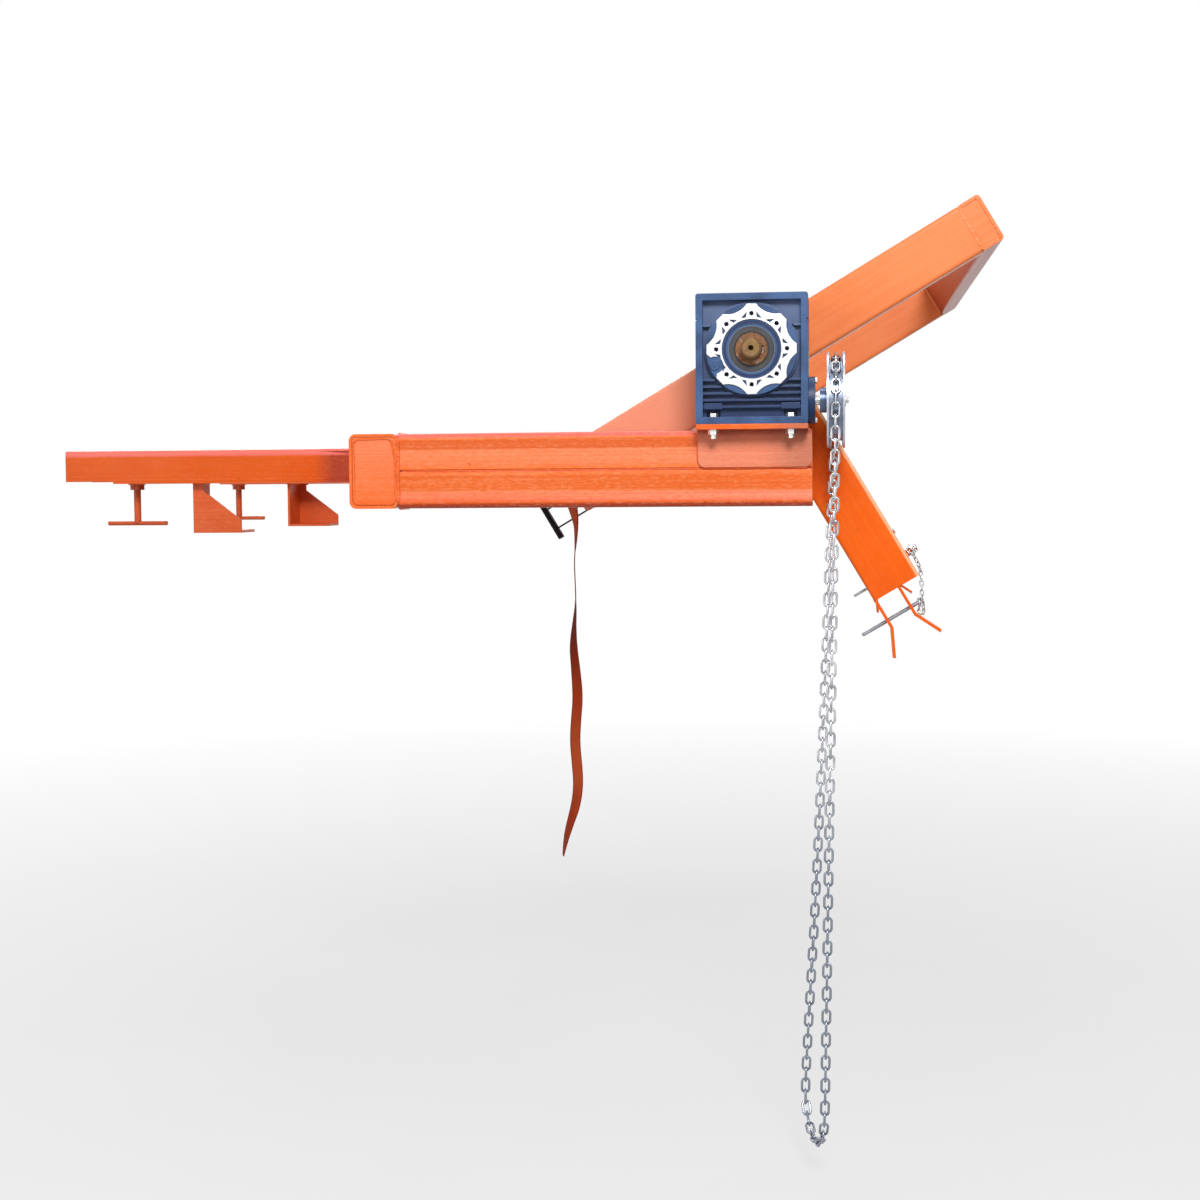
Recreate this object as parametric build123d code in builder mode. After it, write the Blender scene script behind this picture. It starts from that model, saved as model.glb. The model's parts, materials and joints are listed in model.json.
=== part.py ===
# Tipper for four-wheeled waste bins, carried on the tines of a lift truck.
# A fixed frame with two fork sleeves carries a cradle. A hand chain tips it through a worm gearbox.
# The origin is midway between the mouths of the sleeves, on the face that rests on the tines.
# +X points away from the truck, -Y is the near side with the gearbox, +Z is up. Sizes are in millimetres.
import os
from math import asin, atan2, cos, degrees, hypot, pi, radians, sin, tan

from build123d import *

os.makedirs("parts", exist_ok=True)

# Fork sleeves
sleeve_spacing = 712.0
sleeve_width = 150.0
sleeve_height = 75.0
sleeve_wall = 5.0
sleeve_length = 772.0
sleeve_corner = 4.0
sleeve_bend = 8.0
sleeve_floor_setback = 112.0
sleeve_pinch_length = 175.0
sleeve_pinch_depth = 30.0

# Clamp screws under the sleeves
clamp_setback = 139.0
clamp_diameter = 16.0
clamp_fit = 0.1
clamp_hole_clearance = 1.0
clamp_tip_height = 20.0
clamp_drop = 91.0
clamp_bar_length = 142.0
clamp_bar_diameter = 10.0
clamp_bar_rounding = 1.5
clamp_nut_flats = 30.0
clamp_nut_height = 14.0

# Park feet under the sleeves
foot_setback = 290.0
foot_length = 112.0
foot_height = 113.0
foot_depth = 95.0
foot_plate = 6.0
foot_top_length = 24.0
foot_shoulder = 17.0
foot_toe = 29.0

# Cross beam and main arms
frame_half_width = 826.0
beam_width = 100.0
beam_height = 150.0
beam_wall = 6.0
beam_corner = 14.0
beam_top = 24.0
arm_width = 100.0
arm_corner = 12.0
arm_length = 827.0
arm_seam = 1.5
arm_lip = 2.6
arm_groove_depth = 3.5
arm_groove_spots = [13.0, 32.0, 66.0]
cap_thickness = 6.0
cap_inset = 1.5
cap_gap = 0.2

# Saddle under the gearbox
saddle_thickness = 10.0
apron_thickness = 6.0
apron_height = 73.0
apron_corner = 14.0

# Gearbox housing
pivot_setback = 115.0
gear_width = 216.0
gear_top = 108.0
gear_foot = 143.0
gear_depth = 146.0
gear_front_overhang = 54.0
gear_frame = 13.5
gear_recess = 18.0
gear_corner = 5.0
gear_seat_height = 7.0
gear_seat_radius = 92.0
gear_bore_radius = 86.0
gear_rib = 4.5
gear_rib_pitch = 13.0
gear_rib_count = 5
gear_rib_first = 58.0
gear_rib_upper = 46.5
gear_rib_depth = 12.0
gear_pad_width = 36.0
gear_pad_height = 12.0
gear_notch = 3.0
gear_notch_height = 57.0
gear_pocket_depth = 12.0
gear_pocket_width = 26.0
foot_bolt_spacing = 150.0
foot_bolt_inset = 18.0
foot_bolt_diameter = 12.0
foot_bolt_flats = 19.0
foot_bolt_head = 7.5
foot_nut_height = 10.0
foot_bolt_clearance = 0.5
foot_bolt_tail = 8.0
nut_fit = 0.1

# Output covers
cover_radius = 88.0
cover_thickness = 11.5
cover_spigot_depth = 16.0
cover_spigot_fit = 0.2
star_height = 2.5
star_radius = 87.0
star_inner_radius = 57.0
star_valley_radius = 76.0
star_lobe_half_width = 9.0
star_lobes = 8
star_hole_diameter = 8.6
star_hole_circle = 136.0
star_hole_depth = 14.0
star_pocket_depth = 4.0
star_pocket_corners = [(62.0, 18.5), (61.0, 10.0), (71.5, 7.3)]
plug_angle = 203.0
plug_circle = 77.0
plug_gap_radius = 16.5
plug_boss_radius = 10.0
plug_boss_height = 2.0
plug_radius = 5.5
plug_depth = 7.0
plug_fit = 0.1

# Output shaft, its bearings and its seals
journal_diameter = 62.0
journal_shoulder_radius = 35.0
journal_clearance = 4.0
output_bearing_diameter = 100.0
output_bearing_width = 18.0
output_bearing_fit = 0.05
bearing_shield_depth = 1.0
bearing_land = 5.0
output_seal_diameter = 92.0
output_seal_width = 7.0
output_seal_fit = 0.1
drive_shaft_diameter = 40.0
drive_shaft_fit = 0.05
drive_shaft_proud = 30.0
shaft_chamfer = 4.0
drive_shaft_hole = 10.2
drive_shaft_hole_depth = 30.0
key_width = 12.0
key_height = 8.0
key_length = 120.0
key_fit = 0.1
key_shaft_depth = 5.0

# Worm pair
worm_module = 2.7
wheel_teeth = 60
worm_pitch_diameter = 30.0
wheel_face_half = 15.0
wheel_hub_radius = 64.0
tooth_addendum = 1.0
tooth_dedendum = 1.2
tooth_pressure_angle = 20.0
tooth_space_width = 4.8
thread_width = 3.2
thread_turns = 8
thread_root_sink = 0.4
worm_journal_diameter = 25.0
worm_bearing_diameter = 62.0
worm_bearing_width = 17.0
worm_bearing_inset = 8.0
worm_bearing_fit = 0.05
worm_end_clearance = 3.0
worm_cap_thickness = 8.0

# Input flange
flange_diameter = 92.0
flange_thickness = 13.0
flange_spigot = 8.0
flange_bolt_circle = 77.0
flange_bolt_count = 4
flange_bolt_diameter = 6.0
flange_bolt_head_flats = 10.0
flange_bolt_head = 4.0
flange_bolt_depth = 15.0
flange_hole_clearance = 0.3
flange_bore_clearance = 2.0
input_seal_diameter = 40.0
input_seal_width = 7.0
input_seal_fit = 0.1
input_shaft_diameter = 20.0

# Hand-chain wheel
chain_wheel_setback = 161.0
chain_wheel_radius = 94.0
chain_wheel_width = 35.0
chain_wheel_cheek = 4.0
chain_wheel_rim_depth = 17.0
chain_wheel_web = 10.0
chain_wheel_hub_radius = 24.5
chain_wheel_hub_gap = 9.0
chain_wheel_fit = 0.05
chain_rib_count = 12
chain_rib_width = 6.0
chain_rib_height = 1.5
chain_rib_rim_gap = 2.5
chain_rib_sink = 1.0
wheel_bolt_flats = 13.0
wheel_bolt_head = 5.0
wheel_washer_radius = 13.0
wheel_washer_thickness = 2.5
wheel_bolt_diameter = 8.0
wheel_bolt_length = 18.0

# Hand chain
chain_pitch = 22.6
chain_wire = 5.0
chain_link_width = 20.0
chain_link_play = 1.0
chain_link_corner = 5.5
chain_link_inner_corner = 2.6
chain_seat_gap = 0.4
chain_rim_gap = 1.0
chain_side_gap = 4.0
chain_front_foot = (-23.0, -1388.0)
chain_rear_knee = (-37.0, -926.0)
chain_rear_foot = (-64.0, -1388.0)

# Cradle
cradle_elevation = 30.74
cradle_side_clearance = 39.0
side_height = 104.0
side_width = 50.0
side_wall = 5.0
side_corner = 8.0
side_offset = 7.0
side_front = 446.0
side_back = 492.0
lift_width = 105.0
lift_offset = 2.5
lift_end = 550.0
hub_radius = 45.0
hub_clearance = 4.0
shaft_inner_proud = 5.0
shaft_seat_gap = 0.1

# Trunnion forks and their pins
fork_plate = 6.0
fork_gap = 48.5
fork_straight = 66.0
fork_flare_length = 62.0
fork_flare_angle = 26.0
pin_distance = 49.0
pin_diameter = 8.0
pin_fit = 0.1
pin_front = 107.0
pin_back = 22.0
pin_eye_radius = 8.0
pin_eye_hole = 3.5
pin_eye_thickness = 5.0
pin_eye_sink = 3.0
pin_tip_chamfer = 2.0
tether_diameter = 4.5
tether_gap = 0.1
tether_lug_height = 501.0
tether_lug_thickness = 4.0
tether_lug_width = 14.0
tether_lug_reach = 25.5
tether_lug_hole = 3.5
tether_points = [
    (66.0, 530.0, 0.0), (59.5, 552.0, 1.5), (47.5, 574.5, 5.0), (34.5, 596.4, 8.0), (28.0, 615.5, 8.0),
    (22.5, 622.5, 5.5), (17.0, 617.5, 2.0), (18.5, 611.5, 0.0),
]

# Far bearing
idle_shaft_diameter = 40.0
idle_shaft_fit = 0.05
idle_shaft_proud = 12.0
stand_plate = 12.0
stand_half_width = 80.0
stand_inset = 14.0
stand_base_depth = 80.0
stand_top_radius = 80.0
stand_gusset_height = 120.0
stand_hole_clearance = 6.0
unit_square = 130.0
unit_corner = 20.0
unit_flange = 15.0
unit_barrel_radius = 47.0
unit_barrel_taper = 4.0
unit_depth = 40.0
unit_bore_radius = 40.0
insert_width = 36.0
unit_bolt_spacing = 102.0
unit_bolt_diameter = 14.0
unit_bolt_flats = 21.0
unit_bolt_head = 9.0
unit_bolt_clearance = 1.0

# Restraint strap and its ratchet
strap_width = 25.0
strap_thickness = 2.4
strap_height = 58.0
strap_gap = 0.3
lug_thickness = 8.0
lug_root = 50.0
lug_reach = 21.0
lug_height = 60.0
lug_slot_width = 12.0
lug_slot_height = 30.0
lug_bar = 10.0
lug_corner = 8.0
strap_exit_inset = 4.0
strap_exit_reach = 15.0
strap_exit_bend = 12.0
strap_exit_gap = 3.6
strap_tail_turn = -45.0
strap_sewn_length = 70.0
ratchet_start = 6.0
ratchet_length = 80.0
ratchet_height = 30.0
ratchet_plate = 2.5
ratchet_gap = 30.0
ratchet_bolt_diameter = 8.0
ratchet_bolt_fit = 0.1
ratchet_bolt_head = 3.0
ratchet_bolt_head_diameter = 16.0
ratchet_end_margin = 14.0
ratchet_web_offset = 9.0
ratchet_web_length = 27.0
spindle_diameter = 15.0
spindle_slot = 3.2
spindle_fit = 0.1
spindle_proud = 3.0
ratchet_wheel_radius = 17.0
ratchet_wheel_thickness = 3.0
ratchet_wheel_teeth = 12
ratchet_wheel_tooth = 3.0
ratchet_wheel_gap = 0.5
handle_length = 95.0
handle_plate = 2.5
handle_plate_width = 22.0
handle_grip_width = 90.0
handle_grip_depth = 26.0
handle_grip_thickness = 11.0
handle_grip_corner = 4.0
handle_gap = 0.5
tail_points = [
    (0.0, 1.3), (6.0, -52.0), (10.0, -108.0), (8.5, -164.0), (3.5, -221.0), (0.0, -278.0), (2.0, -335.0),
    (6.5, -392.0), (6.0, -450.0), (0.0, -508.0), (-7.0, -566.0), (-14.0, -625.0), (-20.0, -684.0),
    (-25.0, -743.0),
]
route_turn_share = 0.45

# Places that follow from the sizes above
sleeve_y = sleeve_spacing / 2
sleeve_drop = sleeve_height - 2 * sleeve_wall
sleeve_bottom = sleeve_wall - sleeve_height
clamp_bar_z = sleeve_bottom - clamp_drop
beam_mid_x = sleeve_length + beam_width / 2
beam_mid_z = beam_top - beam_height / 2
arm_start = sleeve_length + beam_width
arm_end = arm_start + arm_length
arm_mid_y = frame_half_width - arm_width / 2
pivot_x = arm_end - pivot_setback
pivot_z = beam_top + saddle_thickness + gear_foot
gear_front_y = frame_half_width + gear_front_overhang
gear_mid_y = gear_front_y - gear_depth / 2
cradle_half_width = frame_half_width - arm_width - cradle_side_clearance
gear_height = gear_top + gear_foot
gear_centre_z = (gear_top - gear_foot) / 2
recess_floor = gear_depth / 2 - gear_recess
cover_seat = recess_floor + gear_seat_height
cover_face = cover_seat + cover_thickness
star_face = cover_face + star_height
journal_end = star_face
hub_length = gear_mid_y - star_face - hub_clearance - cradle_half_width
foot_bolt_y = gear_depth / 2 - foot_bolt_inset
wheel_pitch_radius = worm_module * wheel_teeth / 2
centre_distance = wheel_pitch_radius + worm_pitch_diameter / 2
worm_z = pivot_z - centre_distance
chain_wheel_x = pivot_x + chain_wheel_setback
chain_radius = chain_wheel_radius - chain_link_width / 2 - chain_rim_gap
chain_half_angle = asin(chain_pitch / 2 / chain_radius)
chain_seat_radius = chain_radius * cos(chain_half_angle) - chain_wire / 2 - chain_seat_gap

# Planes of the gearbox: across the output shaft and across the worm
gear_plane = Plane(origin=(pivot_x, -gear_mid_y, pivot_z), x_dir=(1, 0, 0), z_dir=(0, -1, 0))
worm_plane = Plane(origin=(pivot_x, -gear_mid_y, worm_z), x_dir=(0, 1, 0), z_dir=(1, 0, 0))
pivot_axis = Axis((pivot_x, 0, pivot_z), (0, 1, 0))
worm_axis = Axis((pivot_x, -gear_mid_y, worm_z), (1, 0, 0))

# The cradle's own directions: along the side beams to the back, and down the lift arms to the forks
tilt = radians(cradle_elevation)
along = Vector(cos(tilt), 0, sin(tilt))
down = Vector(sin(tilt), 0, -cos(tilt))
pivot = Vector(pivot_x, 0, pivot_z)


def cradle_point(u, w, y):
    """A point of the cradle: u along the side beams, w down the lift arms, y across the part."""
    return pivot + along * u + down * w + Vector(0, y, 0)


def cradle_side(y):
    """A plane across the pivot at y, with x along the side beams, y up the lift arms and its normal to -Y."""
    return Plane(origin=cradle_point(0, 0, y), x_dir=along, z_dir=(0, -1, 0))


def keep(piece, name):
    """Labels one finished piece and writes its file."""
    piece.label = name
    export_step(piece, f"parts/{name}.step")


def other_side(piece):
    """The same piece on the far side."""
    return mirror(piece, about=Plane.XZ)


def hollow_section(base, width, height, wall, corner, length):
    """A rectangular hollow section along the normal of its base plane."""
    with BuildPart() as section:
        with BuildSketch(base):
            RectangleRounded(width, height, corner)
            RectangleRounded(width - 2 * wall, height - 2 * wall, corner - wall, mode=Mode.SUBTRACT)
        extrude(amount=length)
    return section.part


def section_caps(bases, width, height, wall, corner):
    """Plates that close hollow sections, each set into the open end that its base plane faces."""
    inner = 2 * (wall + cap_gap)
    with BuildPart() as caps:
        for base in bases:
            with BuildSketch(base.offset(-cap_inset)):
                RectangleRounded(width - inner, height - inner, corner - wall)
            extrude(amount=-cap_thickness)
    return caps.part


def ring(base, outer_radius, inner_radius, length):
    """A plain ring along the normal of its base plane."""
    with BuildPart() as body:
        with BuildSketch(base):
            Circle(outer_radius)
            Circle(inner_radius, mode=Mode.SUBTRACT)
        extrude(amount=length)
    return body.part


def rolling_bearing(base, outer_radius, inner_radius, width):
    """A closed rolling bearing with its shields set back between the two races."""
    with BuildPart() as bearing:
        with BuildSketch(base):
            Circle(outer_radius)
            Circle(inner_radius, mode=Mode.SUBTRACT)
        extrude(amount=width)
        for face, sign in ((base, 1), (base.offset(width), -1)):
            with BuildSketch(face):
                Circle(outer_radius - bearing_land)
                Circle(inner_radius + bearing_land, mode=Mode.SUBTRACT)
            extrude(amount=sign * bearing_shield_depth, mode=Mode.SUBTRACT)
    return bearing.part


# Fork sleeves: folded plates, open below at the mouth, with the outer wall turned inward at the blind end
with BuildPart() as near_fork_sleeve:
    outer_y = -sleeve_y - sleeve_width / 2
    inner_y = -sleeve_y + sleeve_width / 2
    pinch_x = sleeve_length - sleeve_pinch_length
    with BuildSketch(Plane.XY):
        with Locations((sleeve_length / 2, -sleeve_y)):
            Rectangle(sleeve_length, sleeve_width)
    extrude(amount=sleeve_wall)
    fillet(near_fork_sleeve.faces().sort_by(Axis.Z)[-1].edges().filter_by(Axis.X), sleeve_corner)
    with BuildSketch(Plane.XY):
        with BuildLine():
            Polyline(
                (0, outer_y),
                (pinch_x, outer_y),
                (sleeve_length, outer_y + sleeve_pinch_depth),
                (sleeve_length, outer_y + sleeve_pinch_depth + sleeve_wall),
                (pinch_x, outer_y + sleeve_wall),
                (0, outer_y + sleeve_wall),
                close=True,
            )
        make_face()
        with Locations((sleeve_length / 2, inner_y - sleeve_wall / 2)):
            Rectangle(sleeve_length, sleeve_wall)
    extrude(amount=-sleeve_drop)
    # The top edges are bends where a wall stands below them
    for edge_y, way, bend_end in ((outer_y, 1, pinch_x), (inner_y, -1, sleeve_length)):
        with BuildSketch(Plane.YZ):
            with Locations((edge_y + way * sleeve_bend / 2, sleeve_wall - sleeve_bend / 2)):
                Rectangle(sleeve_bend, sleeve_bend)
            with Locations((edge_y + way * sleeve_bend, sleeve_wall - sleeve_bend)):
                Circle(sleeve_bend, mode=Mode.SUBTRACT)
        extrude(amount=bend_end, mode=Mode.SUBTRACT)
keep(near_fork_sleeve.part, "near_fork_sleeve")
keep(other_side(near_fork_sleeve.part), "far_fork_sleeve")

with BuildPart() as sleeve_floors:
    floor_length = sleeve_length - sleeve_floor_setback
    with BuildSketch(Plane.XY.offset(-sleeve_drop)):
        with Locations(*[(sleeve_floor_setback + floor_length / 2, s * sleeve_y) for s in (-1, 1)]):
            Rectangle(floor_length, sleeve_width)
        with Locations(*[(clamp_setback, s * sleeve_y) for s in (-1, 1)]):
            Circle(clamp_diameter / 2 + clamp_hole_clearance, mode=Mode.SUBTRACT)
    extrude(amount=-sleeve_wall)
keep(sleeve_floors.part, "sleeve_floors")

with BuildPart() as clamp_nuts:
    with BuildSketch(Plane.XY.offset(sleeve_bottom)):
        with Locations(*[(clamp_setback, s * sleeve_y) for s in (-1, 1)]):
            RegularPolygon(clamp_nut_flats / 2, 6, major_radius=False)
            Circle(clamp_diameter / 2 + clamp_fit, mode=Mode.SUBTRACT)
    extrude(amount=-clamp_nut_height)
keep(clamp_nuts.part, "clamp_nuts")

# Clamp screws: a threaded rod with a bar welded across its lower end
with BuildPart() as near_clamp_screw:
    clamp_length = clamp_tip_height - sleeve_drop - clamp_bar_z
    with BuildSketch(Plane.XY.offset(clamp_bar_z)):
        with Locations((clamp_setback, -sleeve_y)):
            Circle(clamp_diameter / 2)
    extrude(amount=clamp_length)
    with BuildSketch(Plane.YZ.offset(clamp_setback - clamp_bar_length / 2)):
        with Locations((-sleeve_y, clamp_bar_z)):
            Circle(clamp_bar_diameter / 2)
    extrude(amount=clamp_bar_length)
    bar_ends = near_clamp_screw.faces().sort_by(Axis.X)
    fillet(bar_ends[0].edges() + bar_ends[-1].edges(), clamp_bar_rounding)
keep(near_clamp_screw.part, "near_clamp_screw")
keep(other_side(near_clamp_screw.part), "far_clamp_screw")

# Park feet: an angle of plate with a gusset on its outer side
with BuildPart() as near_park_foot:
    foot_outer_y = sleeve_y + foot_depth / 2
    foot_bottom = sleeve_bottom - foot_height
    foot_end = foot_setback + foot_length
    with BuildSketch(Plane.XZ.offset(foot_outer_y - foot_depth)):
        with BuildLine():
            Polyline(
                (foot_setback, sleeve_bottom),
                (foot_setback, foot_bottom),
                (foot_end, foot_bottom),
                (foot_end, foot_bottom + foot_plate),
                (foot_setback + foot_plate, foot_bottom + foot_plate),
                (foot_setback + foot_plate, sleeve_bottom),
                close=True,
            )
        make_face()
    extrude(amount=foot_depth)
    with BuildSketch(Plane.XZ.offset(foot_outer_y - foot_plate)):
        with BuildLine():
            Polyline(
                (foot_setback, sleeve_bottom),
                (foot_setback, foot_bottom),
                (foot_end, foot_bottom),
                (foot_end, foot_bottom + foot_toe),
                (foot_setback + foot_top_length, sleeve_bottom - foot_shoulder),
                (foot_setback + foot_top_length, sleeve_bottom),
                close=True,
            )
        make_face()
    extrude(amount=foot_plate)
keep(near_park_foot.part, "near_park_foot")
keep(other_side(near_park_foot.part), "far_park_foot")

# Cross beam and the plates in its ends
beam_base = Plane(origin=(beam_mid_x, -frame_half_width, beam_mid_z), x_dir=(1, 0, 0), z_dir=(0, 1, 0))
beam_ends = [
    Plane(origin=(beam_mid_x, s * frame_half_width, beam_mid_z), x_dir=(1, 0, 0), z_dir=(0, s, 0))
    for s in (-1, 1)
]
keep(
    hollow_section(beam_base, beam_width, beam_height, beam_wall, beam_corner, 2 * frame_half_width),
    "cross_beam",
)
keep(section_caps(beam_ends, beam_width, beam_height, beam_wall, beam_corner), "cross_beam_caps")

# Main arms: two rolled channels set toe to toe, with a seam along the middle of each side and a shallow
# groove along the side of each channel
with BuildPart() as near_arm_channels:
    with BuildSketch(Plane.YZ.offset(arm_start)):
        with Locations((-arm_mid_y, beam_mid_z)):
            RectangleRounded(arm_width, beam_height, arm_corner)
            RectangleRounded(
                arm_width - 2 * beam_wall,
                beam_height - 2 * beam_wall,
                arm_corner - beam_wall,
                mode=Mode.SUBTRACT,
            )
            Rectangle(arm_width, arm_seam, mode=Mode.SUBTRACT)
            for side in (-1, 1):
                face = side * arm_width / 2
                lip = (face - side * arm_lip, 0)
                Polygon((face, arm_lip), lip, (face, -arm_lip), align=None, mode=Mode.SUBTRACT)
                for way in (-1, 1):
                    first, middle, last = [way * (beam_height / 2 - spot) for spot in arm_groove_spots]
                    groove = (face - side * arm_groove_depth, middle)
                    Polygon((face, first), groove, (face, last), align=None, mode=Mode.SUBTRACT)
    extrude(amount=arm_length)
keep(near_arm_channels.part, "near_arm_channels")
keep(other_side(near_arm_channels.part), "far_arm_channels")
arm_ends = [
    Plane(origin=(arm_end, s * arm_mid_y, beam_mid_z), x_dir=(0, 1, 0), z_dir=(1, 0, 0)) for s in (-1, 1)
]
keep(section_caps(arm_ends, arm_width, beam_height, beam_wall, arm_corner), "arm_end_caps")

# Saddle: a plate over the arm that stands out in front of it, and an apron welded to the arm below
with BuildPart() as gearbox_saddle:
    saddle_depth = gear_front_y - frame_half_width + arm_width
    with BuildSketch(Plane.XY.offset(beam_top)):
        with Locations((pivot_x, -gear_front_y + saddle_depth / 2)):
            Rectangle(gear_width, saddle_depth)
        with Locations(Location((pivot_x, -gear_mid_y))):
            with GridLocations(foot_bolt_spacing, 2 * foot_bolt_y, 2, 2):
                Circle(foot_bolt_diameter / 2 + foot_bolt_clearance, mode=Mode.SUBTRACT)
    extrude(amount=saddle_thickness)
    with BuildSketch(Plane.XZ.offset(frame_half_width)):
        with BuildLine():
            FilletPolyline(
                (arm_end, beam_top),
                (arm_end, beam_top - apron_height),
                (pivot_x - gear_width / 2, beam_top - apron_height),
                (pivot_x - gear_width / 2, beam_top),
                radius=apron_corner,
                close=False,
            )
            Line((pivot_x - gear_width / 2, beam_top), (arm_end, beam_top))
        make_face()
    extrude(amount=apron_thickness)
keep(gearbox_saddle.part, "gearbox_saddle")

# Gearbox housing: a cast box with a raised frame, ribs and foot pads on both faces
with BuildPart() as gearbox_housing:
    with BuildSketch(gear_plane.offset(-gear_depth / 2)):
        with Locations((0, gear_centre_z)):
            RectangleRounded(gear_width, gear_height, gear_corner)
    extrude(amount=gear_depth)
    frame_inner = gear_width - 2 * gear_frame
    pocket_height = 2 * foot_bolt_head
    pocket_z = -gear_foot + gear_frame + pocket_height / 2
    pad_z = -gear_foot + gear_frame + pocket_height + gear_pad_height / 2
    for side in (1, -1):
        with BuildSketch(gear_plane.offset(side * gear_depth / 2)):
            with Locations((0, gear_centre_z)):
                Rectangle(frame_inner, gear_height - 2 * gear_frame)
        extrude(amount=-side * gear_recess, mode=Mode.SUBTRACT)
        with BuildSketch(gear_plane.offset(side * recess_floor)):
            Circle(gear_seat_radius)
        extrude(amount=side * gear_seat_height)
        with BuildSketch(gear_plane.offset(side * recess_floor)):
            lower_ribs = [-gear_rib_first - i * gear_rib_pitch for i in range(gear_rib_count)]
            with Locations(*[(0, z) for z in [gear_rib_upper, *lower_ribs]]):
                Rectangle(frame_inner, gear_rib)
            with Locations(*[(s * foot_bolt_spacing / 2, pad_z) for s in (-1, 1)]):
                Rectangle(gear_pad_width, gear_pad_height)
            Circle(gear_seat_radius, mode=Mode.SUBTRACT)
        extrude(amount=side * gear_rib_depth)
        with BuildSketch(gear_plane.offset(side * gear_depth / 2)):
            with Locations(*[(s * foot_bolt_spacing / 2, pocket_z) for s in (-1, 1)]):
                Rectangle(gear_pocket_width, pocket_height)
        extrude(amount=-side * (gear_recess + gear_pocket_depth), mode=Mode.SUBTRACT)
    with BuildSketch(gear_plane.offset(-gear_depth / 2)):
        with Locations(*[(s * gear_width / 2, gear_notch_height) for s in (-1, 1)]):
            Rectangle(2 * gear_notch, gear_notch)
    extrude(amount=gear_depth, mode=Mode.SUBTRACT)
    with BuildSketch(gear_plane.offset(-gear_depth / 2)):
        Circle(gear_bore_radius)
    extrude(amount=gear_depth, mode=Mode.SUBTRACT)
    with BuildSketch(worm_plane.offset(-gear_width / 2)):
        Circle(worm_bearing_diameter / 2)
    extrude(amount=gear_width, mode=Mode.SUBTRACT)
    with BuildSketch(worm_plane.offset(gear_width / 2)):
        with PolarLocations(flange_bolt_circle / 2, flange_bolt_count):
            Circle(flange_bolt_diameter / 2)
    extrude(amount=-flange_bolt_depth, mode=Mode.SUBTRACT)
    with BuildSketch(Plane.XY.offset(pivot_z - gear_foot)):
        with Locations(Location((pivot_x, -gear_mid_y))):
            with GridLocations(foot_bolt_spacing, 2 * foot_bolt_y, 2, 2):
                Circle(foot_bolt_diameter / 2 + foot_bolt_clearance)
    extrude(amount=gear_frame, mode=Mode.SUBTRACT)
keep(gearbox_housing.part, "gearbox_housing")

# Foot bolts: the two in front take nuts under the saddle, and the two behind end in its tapped holes
with BuildPart() as gearbox_foot_bolts:
    head_z = pivot_z - gear_foot + gear_frame
    for y_offset, drop in ((-foot_bolt_y, foot_nut_height + foot_bolt_tail), (foot_bolt_y, 0)):
        spots = [(pivot_x + s * foot_bolt_spacing / 2, -gear_mid_y + y_offset) for s in (-1, 1)]
        with BuildSketch(Plane.XY.offset(head_z)):
            with Locations(*spots):
                RegularPolygon(foot_bolt_flats / 2, 6, major_radius=False)
        extrude(amount=foot_bolt_head)
        with BuildSketch(Plane.XY.offset(head_z)):
            with Locations(*spots):
                Circle(foot_bolt_diameter / 2)
        extrude(amount=-(gear_frame + saddle_thickness + drop))

with BuildPart() as gearbox_foot_nuts:
    with BuildSketch(Plane.XY.offset(beam_top)):
        with Locations(*[(pivot_x + s * foot_bolt_spacing / 2, -gear_mid_y - foot_bolt_y) for s in (-1, 1)]):
            RegularPolygon(foot_bolt_flats / 2, 6, major_radius=False)
            Circle(foot_bolt_diameter / 2 + nut_fit, mode=Mode.SUBTRACT)
    extrude(amount=-foot_nut_height)
keep(Compound([*gearbox_foot_bolts.part.solids(), *gearbox_foot_nuts.part.solids()]), "gearbox_foot_bolts")


def polar(radius, angle):
    """A point of a sketch at a radius and an angle in degrees."""
    return (radius * cos(radians(angle)), radius * sin(radians(angle)))


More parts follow.
